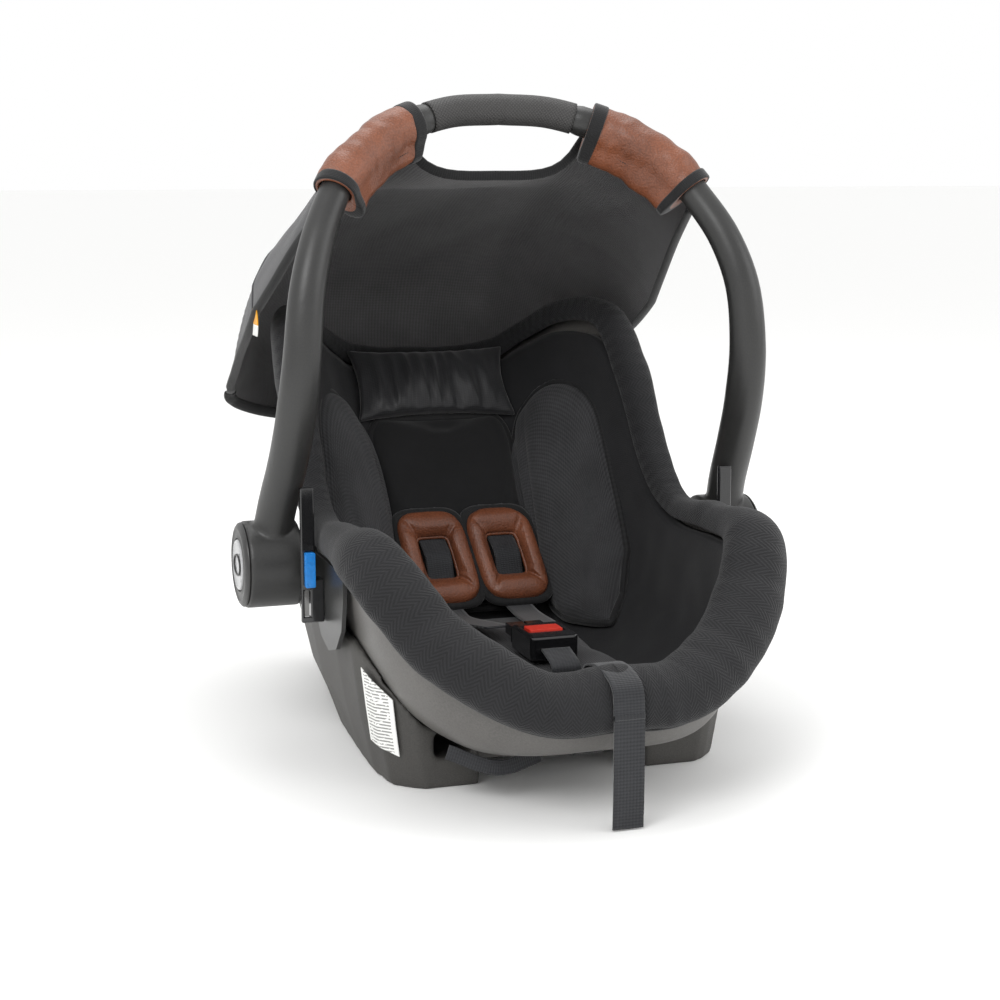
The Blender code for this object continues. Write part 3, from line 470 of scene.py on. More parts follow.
def gridPiece(name, columns, rows, place, size, layers=0):
    # a grid, thickened by extruding where it has layers, whose points are then put in place one by one;
    # its UV map is in metres of cloth
    deselectAll()
    bpy.ops.mesh.primitive_grid_add(x_subdivisions=columns, y_subdivisions=rows, size=2)
    piece = bpy.context.object
    piece.name = name
    if layers:
        editAll()
        for _ in range(layers):
            bpy.ops.mesh.extrude_region_move(TRANSFORM_OT_translate={"value": (0, 0, 1 / layers)})
        bpy.ops.object.mode_set(mode="OBJECT")
    mesh = piece.data
    flat = np.empty(3 * len(mesh.vertices))
    mesh.vertices.foreach_get("co", flat)
    flat = flat.reshape(-1, 3)
    flat[:, :2] = (flat[:, :2] + 1) / 2
    points = np.array([place(u, v, w) for u, v, w in flat])
    points[:, 1] += footLine
    corners = np.empty(len(mesh.loops), int)
    mesh.loops.foreach_get("vertex_index", corners)
    cloth = np.stack([flat[:, 0] * size[0], flat[:, 1] * size[1]], 1)[corners]
    mesh.uv_layers.active.data.foreach_set("uv", cloth.ravel())
    mesh.vertices.foreach_set("co", points.ravel())
    mesh.update()
    return smoothShade(fixNormals(piece))


def clothPuff(piece, held, pressure=4.0, cap=0.006, frames=20):
    # swells the closed pad as stuffing does, while the points that held() names stay where they are
    makeActive(piece)
    mesh = piece.data
    rest = np.array([v.co for v in mesh.vertices])
    kept = [i for i, p in enumerate(rest) if held(p - np.array([0, footLine, 0]))]
    group = piece.vertex_groups.new(name="held")
    group.add(kept, 1.0, "REPLACE")
    cloth = piece.modifiers.new("cloth", "CLOTH")
    cloth.settings.use_pressure = True
    cloth.settings.uniform_pressure_force = pressure
    cloth.settings.effector_weights.gravity = 0
    cloth.settings.vertex_group_mass = "held"
    cloth.settings.quality = 5
    cloth.collision_settings.use_collision = False
    for step in range(1, frames + 1):
        bpy.context.scene.frame_set(step)
    bpy.ops.object.modifier_apply(modifier="cloth")
    bpy.context.scene.frame_set(1)
    swollen = np.array([v.co for v in mesh.vertices])
    move = swollen - rest
    length = np.maximum(np.linalg.norm(move, axis=1), 1e-9)
    move *= (np.minimum(length, cap) / length)[:, None]
    mesh.vertices.foreach_set("co", (rest + move).ravel())
    mesh.update()
    piece.vertex_groups.clear()
    print("swelled", piece.name, round(float(length.max()) * 1000, 1), "mm at most before the cap")
    return piece


def tubePiece(name, path, half, thick=None, sides=12, closed=False, up=None):
    # a round or flattened tube along a row of points, its UV map in metres round and along
    path = [np.array(p, float) for p in path]
    thick = half if thick is None else thick
    halves = half if callable(half) else (lambda share: half)
    thicks = thick if callable(thick) else (lambda share: thick)
    total = lengthOf(path)
    frames = []
    lastSide = None
    for i, point in enumerate(path):
        along = unit(path[(i + 1) % len(path)] - path[i - 1]) if closed else directionAt(path, i)
        guide = np.array(up if up is not None else (0, 1, 0.2))
        side = unit(np.cross(along, guide))
        if lastSide is not None and np.dot(side, lastSide) < 0 and up is None:
            side = -side
        lastSide = side
        frames.append((point, side, np.cross(side, along)))
    if closed:
        frames.append(frames[0])
    count = len(frames)

    def place(u, v, w):
        point, side, normal = frames[int(round(v * (count - 1)))]
        angle = math.tau * u
        return point + side * math.cos(angle) * halves(v) + normal * math.sin(angle) * thicks(v)

    piece = gridPiece(name, sides, count - 1, place, (0.0001 + math.tau * halves(0.5), total))
    if not closed:
        makeActive(piece)
        editAll("DESELECT")
        bpy.ops.mesh.select_non_manifold()
        bpy.ops.mesh.fill_holes(sides=0)
        bpy.ops.mesh.select_all(action="SELECT")
        bpy.ops.mesh.normals_make_consistent(inside=False)
        bpy.ops.object.mode_set(mode="OBJECT")
    return piece


def strapPiece(name, path, width, thick, steps, across=(1, 0, 0)):
    # flat webbing along a row of points, a little thicker at its selvedges
    line = [through(path, k / steps) for k in range(steps + 1)]
    length = lengthOf(line)
    frames = []
    for k, point in enumerate(line):
        along = directionAt(line, k)
        side = unit(np.array(across) - along * np.dot(across, along))
        frames.append((point, side, np.cross(along, side)))

    def place(u, v, w):
        point, side, normal = frames[int(round(v * steps))]
        selvedge = 1 + 0.25 * (abs(2 * u - 1) > 0.86)
        return point + side * (u - 0.5) * width + normal * (w - 0.5) * thick * selvedge

    return gridPiece(name, 12, steps, place, (width, length), layers=1), line, length


def latheX(name, profile, centre, steps=64):
    # turned about a line along X: profile pairs are (x, radius), spun from an edge chain
    deselectAll()
    bpy.ops.mesh.primitive_circle_add(vertices=3, radius=1)
    piece = bpy.context.object
    piece.name = name
    middle = Vector((0, centre[0] + footLine, centre[1]))
    piece.data.clear_geometry()
    chain = [(x, middle.y + radius, middle.z) for x, radius in profile]
    piece.data.from_pydata(chain, [(k, k + 1) for k in range(len(chain) - 1)], [])
    editAll()
    bpy.ops.mesh.spin(steps=steps, angle=math.tau, center=middle, axis=(1, 0, 0))
    bpy.ops.object.mode_set(mode="OBJECT")
    fixNormals(piece)
    return smoothShade(piece, 30)


def stitches(name, points, directions, length, radius, normals):
    # one stitch modelled as a small lozenge of thread, copied along the row
    deselectAll()
    bpy.ops.mesh.primitive_uv_sphere_add(segments=6, ring_count=5, radius=1)
    model = bpy.context.object
    shape = np.array([v.co for v in model.data.vertices])
    faces = [tuple(f.vertices) for f in model.data.polygons]
    bpy.data.objects.remove(model)
    verts, polys = [], []
    for point, along, normal in zip(points, directions, normals):
        along, normal = unit(along), unit(normal)
        side = np.cross(normal, along)
        start = len(verts)
        for p in shape:
            spot = point + along * p[2] * length / 2 + side * p[0] * radius + normal * p[1] * radius
            verts.append((spot[0], spot[1] + footLine, spot[2]))
        polys += [tuple(start + i for i in f) for f in faces]
    mesh = bpy.data.meshes.new(name)
    mesh.from_pydata(verts, [], polys)
    piece = bpy.data.objects.new(name, mesh)
    bpy.context.collection.objects.link(piece)
    return smoothShade(piece)


def eased(piece, voxel, passes):
    # remeshed evenly and smoothed, as a moulding with rounded edges
    addModifier(piece, "REMESH", mode="VOXEL", voxel_size=voxel)
    applyAll(piece)
    addModifier(piece, "SMOOTH", factor=0.6, iterations=passes)
    applyAll(piece)
    return smoothShade(piece)


def keptNode(name, finish, bevel=0.0, segments=2):
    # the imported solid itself, with eased edges and its real finish
    piece = paint(nodes[name], finish)
    if bevel:
        addModifier(piece, "WELD", merge_threshold=0.00005)
        addModifier(piece, "BEVEL", width=bevel, segments=segments, limit_method="ANGLE",
                    angle_limit=math.radians(30), use_clamp_overlap=True)


def dress(piece, finish, body, stands=None):
    # its finish, the body it moves with and the imported node it stands for
    paint(piece, finish)
    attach(piece, body)
    if stands:
        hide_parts(stands)


print("helpers ready")

# shell, rockers and the hard fittings
shellLook = {"columns": 160, "rows": 36, "wallShare": 0.8}


def towardMiddle(edge, share):
    # from the floor's edge to its middle line
    near, far = shell["floorFront"] + 0.07, shell["floorFront"] + shell["floorLength"] - 0.07
    middle = np.array([0, min(max(edge[1], near), far), edge[2]])
    return edge + (middle - edge) * share


def shellPlace(u, v, w):
    place, flip = loopPlace(u)
    inset = -shell["wall"] + w * (shell["wall"] - 0.0002)
    wallShare = shellLook["wallShare"]
    if v <= wallShare:
        return layerPoint(place, 1 - v / wallShare, inset) * flip
    return towardMiddle(layerPoint(place, 0, inset), (v - wallShare) / 0.2) * flip


seatShell = gridPiece("seatShellMoulding", shellLook["columns"], shellLook["rows"], shellPlace, (1.5, 0.35),
                      layers=1)
dress(seatShell, "shellSmooth", "carrier", "seat_shell")

rockerLook = {"voxel": 0.0024, "easing": 7}
for side in ("left", "right"):
    rocker = bpy.data.objects.new("rockerMoulding_" + side, nodes["rocker_" + side].data.copy())
    bpy.context.collection.objects.link(rocker)
    eased(fixNormals(rocker), rockerLook["voxel"], rockerLook["easing"])
    dress(rocker, "baseGrain", "carrier", "rocker_" + side)

keptNode("front_crossmember", "shellSmooth", 0.0012)
keptNode("rear_crossmember", "baseGrain", 0.003)
for side in ("left", "right"):
    keptNode("pivot_boss_" + side, "satinGrey", 0.0008)
    keptNode("belt_guide_" + side, "glossBlack", 0.0012, 3)
    keptNode("belt_hook_" + side, "clearBlue", 0.0012, 3)
    keptNode("lock_gear_" + side, "steel", 0.0002)
    keptNode("button_spring_" + side, "steel")
    keptNode("pivot_screw_" + side, "steel", 0.0002)
    keptNode("tongue_" + side, "glossBlack", 0.0006, 2)
keptNode("harness_yoke", "steel", 0.0005)
keptNode("crotch_anchor", "steel", 0.0003)
keptNode("adjuster_body", "steel", 0.0004)
keptNode("adjuster_lever", "steel", 0.0004)
keptNode("buckle_body", "glossBlack", 0.0035, 4)
keptNode("buckle_button", "signalRed", 0.0010, 3)
keptNode("buckle_spring", "steel")
for side, flip in (("right", 1), ("left", -1)):
    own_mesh(nodes["button_spring_" + side])
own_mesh(nodes["buckle_spring"])
print("shell, rockers and fittings done")

# the padded cover
rollOut = (.023, .023, .024, .022, .011, .004, .007, .010, .011, .009, .009, .010, .011)
rollDrop = (.017, .017, .018, .016, .011, .010, .012, .016, .022, .024, .024, .024, .024)
rimLook = {"columns": 300, "around": 34, "gather": 0.0022, "gatherPitch": 0.021, "swell": 0.0034,
           "gatherTo": 5.0, "length": 1.72, "shown": 0.72}


def alongLoop(values, place):
    return np.interp(place, range(lastPlace + 1), values)


def rollFrame(place):
    edge = rimPoint(place)
    along = unit(rimPoint(min(place + 0.05, lastPlace)) - rimPoint(max(place - 0.05, 0)))
    upward = wallPoint(place, 1) - wallPoint(place, 0.94)
    up = unit(upward - along * np.dot(upward, along))
    return edge, unit(np.cross(up, along)), up


def rollSection(place):
    out = alongLoop(rollOut, place)
    drop = alongLoop(rollDrop, place)
    inside = 2 * shell["gap"] + shell["lining"]
    outside = -shell["wall"] - 2 * shell["gap"]
    top = 0.011 + out * 0.62
    inner = inside + 0.0045 + out * 0.42
    return ((outside - .0006, -drop), (outside - out * .45, -drop * 1.02),
            (outside - out * .88, -drop * .78), (outside - out * 1.06, -drop * .34),
            (outside - out * 1.02, top * .22), (outside - out * .70, top * .76),
            (outside + out * .05, top * 1.06), (inner * .55, top * 1.05), (inner * .98, top * .62),
            (inner * 1.08, -drop * .02), (inner * .9, -drop * .2), (inside + .0006, -drop * .24),
            (inside + .0006, .0012), (outside - .0004, .0012), (outside - .0004, -drop * .5))


def rollPlace(u, v, w):
    place, flip = loopPlace(u)
    edge, inward, up = rollFrame(place)
    section = rollSection(place)
    a, b = through(section, v, closed=True)[:2]
    out = alongLoop(rollOut, place)
    shown = math.sin(math.pi * min(v / rimLook["shown"], 1.0)) if v < rimLook["shown"] else 0.0
    frontness = max(0.0, 1 - place / rimLook["gatherTo"])
    spot = edge * flip
    gather = math.cos(math.tau * (u * rimLook["length"]) / rimLook["gatherPitch"])
    gather *= rimLook["gather"] * frontness
    gather *= max(0.0, 1 - v / 0.42) * (0.6 + ripple(spot, 0.05, 1.0))
    swell = ripple((spot[0], spot[1], spot[2] + b), 0.055, rimLook["swell"], seed=3.1)
    swell += ripple((spot[0], spot[1], spot[2] + b * 0.4), 0.018, rimLook["swell"] * 0.45, seed=7.7)
    puff = (gather + swell * (0.35 + out / 0.022 * 0.65)) * shown
    centre = np.array([-shell["wall"], 0.0])
    direction = unit(np.array([a, b]) - centre)
    a, b = a + direction[0] * puff, b + direction[1] * puff
    return (edge + inward * a + up * b) * flip


rimRoll = gridPiece("rimRollCover", rimLook["columns"], rimLook["around"], rollPlace,
                    (rimLook["length"], 0.125))
subdivided(rimRoll)
smoothShade(rimRoll)
dress(rimRoll, "herringbone", "carrier", "seat_cover")
hemRun = [3.9 * (1 - k / 60) for k in range(60)]


def hemSpot(place, flip):
    edge, inward, up = rollFrame(place)
    out = alongLoop(rollOut, place)
    drop = alongLoop(rollDrop, place)
    return (edge - inward * (shell["wall"] + out * 0.30) - up * (drop * 1.03)) * flip


hemPath = [hemSpot(p, 1) for p in hemRun] + [hemSpot(p, mirror) for p in [0.0] + hemRun[::-1]]
dress(tubePiece("rimRollHem", hemPath, 0.0036, 0.0026, sides=10, up=(0, 0.3, 1)), "binding", "carrier")
print("rim roll done")

liningLook = {"columns": 220, "rows": 56, "puff": 0.0050, "fold": 0.0030, "top": 0.955, "wallShare": 0.78}


def liningPlace(u, v, w):
    place, flip = loopPlace(u)
    wallShare = liningLook["wallShare"]
    rise = liningLook["top"] * (1 - min(v / wallShare, 1.0))
    plump = liningLook["puff"] * math.sin(math.pi * min(rise / liningLook["top"], 1.0)) ** 0.7 if w else 0.0
    edge = wallPoint(place, rise) * flip
    fold = ripple(edge, 0.070, liningLook["fold"], seed=1.7)
    fold += ripple(edge, 0.026, liningLook["fold"] * 0.4, seed=5.2)
    fold *= math.sin(math.pi * min(rise / liningLook["top"], 1.0)) ** 0.5 if rise > 0 else 0.0
    rollEdge = 0.0035 + alongLoop(rollOut, place) * 0.42
    rising = clamped((rise - 0.50) / 0.36)
    fill = rollEdge * rising * rising * (3 - 2 * rising)
    inset = shell["gap"] + w * (shell["lining"] - 0.0002) + (plump + fold + fill if w else 0.0)
    if v <= wallShare:
        return layerPoint(place, rise, inset) * flip
    return towardMiddle(layerPoint(place, 0, inset), (v - wallShare) / 0.22) * flip


innerCover = gridPiece("innerCover", liningLook["columns"], liningLook["rows"], liningPlace, (1.5, 0.36),
                       layers=1)
dress(innerCover, "plainDark", "carrier", "cover_lining")
print("inner cover done")

# the newborn insert
backFoot = floorPoint(lastPlace)
backAlong = unit(rimPoint(lastPlace) - backFoot)
backNormal = np.array([0, -backAlong[2], backAlong[1]])


def backPoint(x, along, inset):
    # a point by its place across, up the backrest and out from it
    return backFoot + np.array([x, 0, 0]) + backAlong * along + backNormal * inset


def domed(u, v, power=0.5):
    # a pad's swell, 0 along its four edges and 1 in its middle
    return (max(math.sin(math.pi * clamped(u)), 0) * max(math.sin(math.pi * clamped(v)), 0)) ** power


def cushionHeight(look, w, part, dome, least):
    # its two faces, spread from a middle height by the dome and drawn together at the edge
    deep = look["high"] - look["low"]
    return look["low"] + part * deep + (w - part) * deep * (least + (1 - least) * dome)


backLook = {"half": 0.070, "start": 0.034, "end": 0.240, "low": 0.0135, "high": 0.0285, "cap": 0.0025}


def backPanelPlace(u, v, w):
    corner = 1 - 0.16 * abs(2 * v - 1) ** 10
    x = (2 * u - 1) * backLook["half"] * corner * (1 + 0.03 * math.sin(math.pi * v))
    along = backLook["start"] + (backLook["end"] - backLook["start"]) * v
    dome = domed(u, v, 0.28)
    inset = cushionHeight(backLook, w, 0.5, dome, 0.25)
    if w > 0.5:
        inset += ripple((x, along, 0), 0.06, 0.0016 * dome, seed=2.2)
    return backPoint(x, along, inset)


insertBack = gridPiece("insertBackPanel", 36, 56, backPanelPlace, (0.14, 0.23), layers=3)
clothPuff(insertBack, lambda p: np.dot(p - backFoot, backNormal) < 0.0175, 3.0, backLook["cap"])
subdivided(insertBack)
dress(insertBack, "suede", "carrier", "insert_back")
panelEdge = [backPanelPlace(u, v, 0.5) for u, v in
             [(0, k / 30) for k in range(1, 30)] + [(k / 14, 1) for k in range(15)]
             + [(1, 1 - k / 30) for k in range(1, 30)] + [(1 - k / 14, 0) for k in range(15)]]
dress(tubePiece("insertPanelBinding", panelEdge, 0.0042, 0.0030, sides=12, closed=True,
                up=backNormal), "binding", "carrier")

pillowLook = {"half": 0.080, "start": 0.238, "end": 0.312, "low": 0.0140, "high": 0.043, "cap": 0.006}


def pillowPlace(u, v, w):
    x = (2 * u - 1) * pillowLook["half"] * (1 - 0.06 * math.sin(math.pi * v))
    along = pillowLook["start"] + (pillowLook["end"] - pillowLook["start"]) * v
    along += (0.5 - v) * 0.010 * (math.sin(math.pi * u) - 0.5)
    dome = domed(u, v, 0.42)
    inset = cushionHeight(pillowLook, w, 0.4, dome, 0.15)
    if w > 0.4:
        fold = abs(noise.noise(Vector((x / 0.024, along / 0.11, 4.4))))
        fold += 0.6 * abs(noise.noise(Vector((x / 0.013, along / 0.09, 9.1))))
        inset += (0.0040 - 0.0135 * fold) * dome
    return backPoint(x, along, inset)


pillow = gridPiece("headPillow", 64, 32, pillowPlace, (0.158, 0.07), layers=4)
clothPuff(pillow, lambda p: np.dot(p - backFoot, backNormal) < 0.017, 4.0, pillowLook["cap"] * 0.4)
subdivided(pillow)
dress(pillow, "satinDark", "carrier", "head_pillow")

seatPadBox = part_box("seat_pad")
padLook = {"half": 0.071, "front": seatPadBox[0].y - footLine + 0.002,
           "back": seatPadBox[1].y - footLine - 0.001, "low": seatPadBox[0].z + 0.0006,
           "high": seatPadBox[1].z - 0.002, "cap": 0.003}


def seatPadPlace(u, v, w):
    x = (2 * u - 1) * padLook["half"] * (1 - 0.12 * abs(2 * v - 1) ** 8)
    y = padLook["front"] + (padLook["back"] - padLook["front"]) * v
    dome = domed(u, v, 0.3)
    z = cushionHeight(padLook, w, 0.4, dome, 0.3)
    if w > 0.4:
        z += ripple((x, y, 0), 0.05, 0.0030 * dome, seed=8.2)
    return np.array([x, y, z])


seatPad = gridPiece("seatPadCushion", 32, 56, seatPadPlace, (0.14, 0.25), layers=3)
clothPuff(seatPad, lambda p: p[2] < padLook["low"] + 0.004, 3.0, padLook["cap"])
subdivided(seatPad)
dress(seatPad, "diamond", "carrier", "seat_pad")

bolsterLook = {"first": 6.3, "last": 11.15, "middleRise": 0.46, "reach": 0.71, "base": 0.0090,
               "thick": 0.026, "piping": 0.0038}

for side, flip in (("right", np.ones(3)), ("left", mirror)):
    def bolsterPlace(u, v, w, flip=flip):
        place = bolsterLook["first"] + (bolsterLook["last"] - bolsterLook["first"]) * v
        spread = math.sin(math.pi * (0.07 + 0.86 * v)) ** 0.55
        rise = bolsterLook["middleRise"] + (u - 0.5) * bolsterLook["reach"] * spread
        dome = domed(u, v, 0.45)
        inset = bolsterLook["base"] + 0.004 + w * (0.003 + bolsterLook["thick"] * dome)
        if w > 0.5:
            inset += ripple((place * 0.1, rise * 0.3, 0), 0.06, 0.002 * dome, seed=6.0)
        return layerPoint(place, rise, inset) * flip

    bolster = gridPiece("insertBolster_" + side, 34, 46, bolsterPlace, (0.13, 0.20), layers=2)
    clothPuff(bolster, lambda p: False, 2.0, 0.0015)
    subdivided(bolster)
    dress(bolster, "diamond", "carrier", "insert_bolster_" + side)
    edge = []
    for k in range(120):
        turn = math.tau * k / 120
        corner = max(abs(math.cos(turn)), abs(math.sin(turn)))
        reach = corner ** 0.9
        u, v = 0.5 + 0.5 * math.cos(turn) / reach, 0.5 + 0.5 * math.sin(turn) / reach
        edge.append(bolsterPlace(clamped(u), clamped(v), 0.5))
    dress(tubePiece("bolsterPiping_" + side, edge, bolsterLook["piping"], sides=10, closed=True,
                    up=(0.3, -0.8, 0.5)), "binding", "carrier")
print("insert done")

# carry handle
handleLook = {"top": 0.548, "tube": 0.0133, "leg": 0.0168, "gripThick": 0.0022, "gripHalf": 0.064,
              "hubY": 0.160, "hubZ": 0.163, "hubIn": 0.1885, "hubOut": 0.2355, "voxel": 0.0019}
handleLine = ((0, .173, 1.0), (.045, .170, .995), (.090, .158, .971), (.120, .144, .943),
              (.146, .129, .907), (.164, .114, .861), (.181, .095, .800), (.193, .082, .723),
              (.198, .080, .630), (.201, .092, .545), (.204, .113, .470), (.208, .138, .400),
              (.211, .152, .345), (.212, .160, .298))


def handleSpot(share):
    # from the right hub's middle at 0 over the top to the left one at 1
    side = 1 if share < 0.5 else -1
    x, y, z = through(handleLine, 1 - 2 * share if share < 0.5 else 2 * share - 1)
    return np.array([x * side, y, z * handleLook["top"]])


def handleHalf(share):
    x, y, z = handleSpot(share)
    if abs(x) < handleLook["gripHalf"] - 0.0005:
        return handleLook["tube"] - handleLook["gripThick"] + 0.0003
    rise = clamped((handleLook["top"] * 0.86 - z) / (handleLook["top"] * 0.3))
    return handleLook["tube"] + (handleLook["leg"] - handleLook["tube"]) * rise


arch = tubePiece("handleArch", [handleSpot(k / 150) for k in range(151)], handleHalf, handleHalf, sides=28,
                 up=(0, 1, 0))
for side in (1, -1):
    hub = latheX("hubTool", [(side * x, r) for x, r in (
        (handleLook["hubIn"], 0.0001), (handleLook["hubIn"], 0.036), (handleLook["hubIn"] + 0.0015, 0.0375),
        (handleLook["hubOut"] - 0.001, 0.0375), (handleLook["hubOut"], 0.0365),
        (handleLook["hubOut"], 0.0001))],
        (handleLook["hubY"], handleLook["hubZ"]))
    addModifier(arch, "BOOLEAN", object=hub, operation="UNION", solver="EXACT")
    applyAll(arch)
    bpy.data.objects.remove(hub)
    pocket = latheX("pocketTool", [(side * x, r) for x, r in (
        (0.207, 0.0001), (0.207, 0.0255), (handleLook["hubOut"] + 0.01, 0.0255),
        (handleLook["hubOut"] + 0.01, 0.0001))], (handleLook["hubY"], handleLook["hubZ"]))
    addModifier(arch, "BOOLEAN", object=pocket, operation="DIFFERENCE", solver="EXACT")
    applyAll(arch)
    bpy.data.objects.remove(pocket)
eased(arch, handleLook["voxel"], 3)
dress(arch, "satinGrey", "handle", "handle_frame")


def handleShare(x):
    # the share along the handle at a distance across, near its top
    low, high = 0.3, 0.7
    for _ in range(40):
        middle = (low + high) / 2
        if handleSpot(middle)[0] > x:
            low = middle
        else:
            high = middle
    return (low + high) / 2


def alongHandle(start, end, steps):
    first, last = handleShare(start), handleShare(end)
    return [handleSpot(first + (last - first) * k / (steps - 1)) for k in range(steps)]


def shellTube(name, path, inner, outer, sides, tail=0.0, tailTurn=0.0, lump=0.0):
    # a wrapped tube with a wall: its outside, its ends and its inside, joined round
    frames = []
    for i, point in enumerate(path):
        along = directionAt(path, i)
        side = unit(np.cross(along, (0, 1, 0)))
        frames.append((point, side, np.cross(side, along)))
    count = len(frames)

    def place(u, v, w):
        point, side, normal = frames[int(round(v * (count - 1)))]
        angle = math.tau * u
        radius = inner + (outer - inner) * w
        if w > 0.5:
            radius += tail * max(0.0, math.cos(angle - tailTurn)) ** 7
            ends = math.sin(math.pi * v) ** 0.3 if 0 < v < 1 else 0
            spot = point + side * math.cos(angle) * radius
            coarse = ripple(spot + normal * math.sin(angle) * radius, 0.022, 1.0, seed=2.9)
            radius += lump * ends * (0.5 + coarse + 0.5 * ripple(spot, 0.009, 1.0, seed=4.9))
        return point + side * math.cos(angle) * radius + normal * math.sin(angle) * radius

    return gridPiece(name, sides, count - 1, place, (math.tau * outer, lengthOf(path)), layers=1)


gripEnd = handleLook["gripHalf"] + 0.002
grip = shellTube("handleGripSleeve", alongHandle(gripEnd, -gripEnd, 41), 0.0119, 0.01345, 40)
dress(grip, "grip", "handle", "handle_grip")

sleeveLook = {"in": 0.079, "out": 0.160, "inner": 0.0142, "outer": 0.0172, "tail": 0.0165, "lump": 0.0026}
for side, flip in (("right", 1), ("left", -1)):
    path = alongHandle(flip * sleeveLook["in"], flip * sleeveLook["out"], 44)
    seamTurn = math.radians(155 if flip > 0 else 25)
    sleeve = shellTube("handleSleeveCover_" + side, path, sleeveLook["inner"], sleeveLook["outer"], 56,
                       sleeveLook["tail"], seamTurn, sleeveLook["lump"])
    subdivided(sleeve)
    dress(sleeve, "leather", "handle", "handle_sleeve_" + side)
    for tag, start, end in (("inner", 0, 5), ("outer", 39, 44)):
        tape = shellTube("sleeveTape_" + tag + "_" + side, path[start:end], sleeveLook["outer"] - 0.0004,
                         sleeveLook["outer"] + 0.0020, 56, sleeveLook["tail"], seamTurn)
        subdivided(tape)
        dress(tape, "binding", "handle")
    spots, runs, ups = [], [], []
    for k in range(3, len(path) - 3):
        point = path[k]
        along = unit(path[k + 1] - path[k - 1])
        out = unit(np.cross(along, (0, 1, 0)))
        back = np.cross(out, along)
        for lean in (-1, 1):
            angle = seamTurn + lean * math.radians(37)
            ray = out * math.cos(angle) + back * math.sin(angle)
            spots.append(point + ray * (sleeveLook["outer"] + 0.0036))
            runs.append(along)
            ups.append(ray)
    seamRow = stitches("sleeveStitches_" + side, spots, runs, 0.0017, 0.0005, ups)
    dress(seamRow, "thread", "handle")
print("handle done")

# hub caps with their release buttons
hubCentre = (handleLook["hubY"], handleLook["hubZ"])
for side, flip in (("right", 1), ("left", -1)):
    face = handleLook["hubOut"]
    cap = latheX("hubCapRing_" + side, [(flip * x, r) for x, r in (
        (face + .0003, .0228), (face + .0034, .0230), (face + .0038, .0236), (face + .0030, .0262),
        (face + .0030, .0296), (face + .0038, .0312), (face + .0030, .0340), (face + .0014, .0360),
        (face + .0003, .0364), (face + .0003, .0228))], hubCentre)
    dress(cap, "satinGrey", "handle", "hub_cap_" + side)
    front = face + .0050
    button = latheX("releaseButtonCap_" + side, [(flip * x, r) for x, r in (
        (front - .009, .0001), (front - .009, .0218), (front - .0016, .0219), (front - .0006, .0212),
        (front - .0002, .0190), (front - .0008, .0178), (front - .0010, .0100), (front - .0004, .0040),
        (front - .0002, .0001))], hubCentre)
    dress(button, "silverBadge", "release_" + side, "release_button_" + side)
    oval = [np.array([flip * (front - .0004), hubCentre[0] + .0128 * math.cos(t),
                      hubCentre[1] + .0086 * math.sin(t)])
            for t in np.linspace(0, math.tau, 60, endpoint=False)]
    dress(tubePiece("buttonRing_" + side, oval, 0.0009, sides=8, closed=True, up=(1, 0, 0)),
          "satinGrey", "release_" + side)
print("hubs done")

# canopy
canopyLook = {"half": 0.166, "spread": 0.022, "thick": 0.0022, "columns": 90, "rows": 80, "fold": 0.0045,
              "bulge": 0.016, "scoop": 0.032, "scoopHalf": 0.27, "seam": 0.42}
canopyLine = ((.184, .522), (.258, .494), (.340, .472), (.420, .440), (.480, .398), (.512, .340),
              (.510, .290), (.488, .245))
canopyEdge = ((.136, .464), (.196, .430), (.250, .394), (.296, .364), (.336, .342), (.376, .324),
              (.420, .302), (.462, .276))


def canopyBase(across, down):
    y, z = through(canopyLine, down)
    edgeY, edgeZ = through(canopyEdge, down)
    bulge = canopyLook["bulge"] * math.sin(math.pi * min(down * 1.15, 1))
    wrap = clamped((abs(across) - .28) / .72) ** 1.15
    square = math.copysign(1 - (1 - abs(across)) ** 2.2, across)
    x = square * (canopyLook["half"] + canopyLook["spread"] * min(down * 2.5, 1) + bulge * .3)
    # the front edge dips at its middle, round the handle's grip
    scoop = max(1 - (across / canopyLook["scoopHalf"]) ** 4, 0) * canopyLook["scoop"] * max(1 - down * 4, 0)
    return np.array([x, y + (edgeY - y) * wrap, z + (edgeZ - z) * wrap - scoop])


def canopySpot(across, down, lift):
    middle = canopyBase(across, down)
    one = canopyBase(min(across + .02, 1), down) - canopyBase(max(across - .02, -1), down)
    two = canopyBase(across, min(down + .02, 1)) - canopyBase(across, max(down - .02, 0))
    normal = unit(np.cross(one, two))
    fold = ripple((across * 0.2, down * 0.4, 0), 0.11, canopyLook["fold"], (1.0, 0.8, 1), seed=3.3)
    fold += abs(noise.noise(Vector((across * 4 + down * 3, down * 2.2, 7.0)))) * -canopyLook["fold"] * 0.9
    fold *= min(1.0, 6 * (1 - abs(across)), 8 * down + 0.15)
    return middle + normal * (lift + fold)


def canopyPlace(u, v, w):
    return canopySpot(2 * u - 1, v, w * canopyLook["thick"])


def canopyAcross(down, lift):
    return [canopySpot(-1 + 2 * k / 60, down, lift) for k in range(61)]


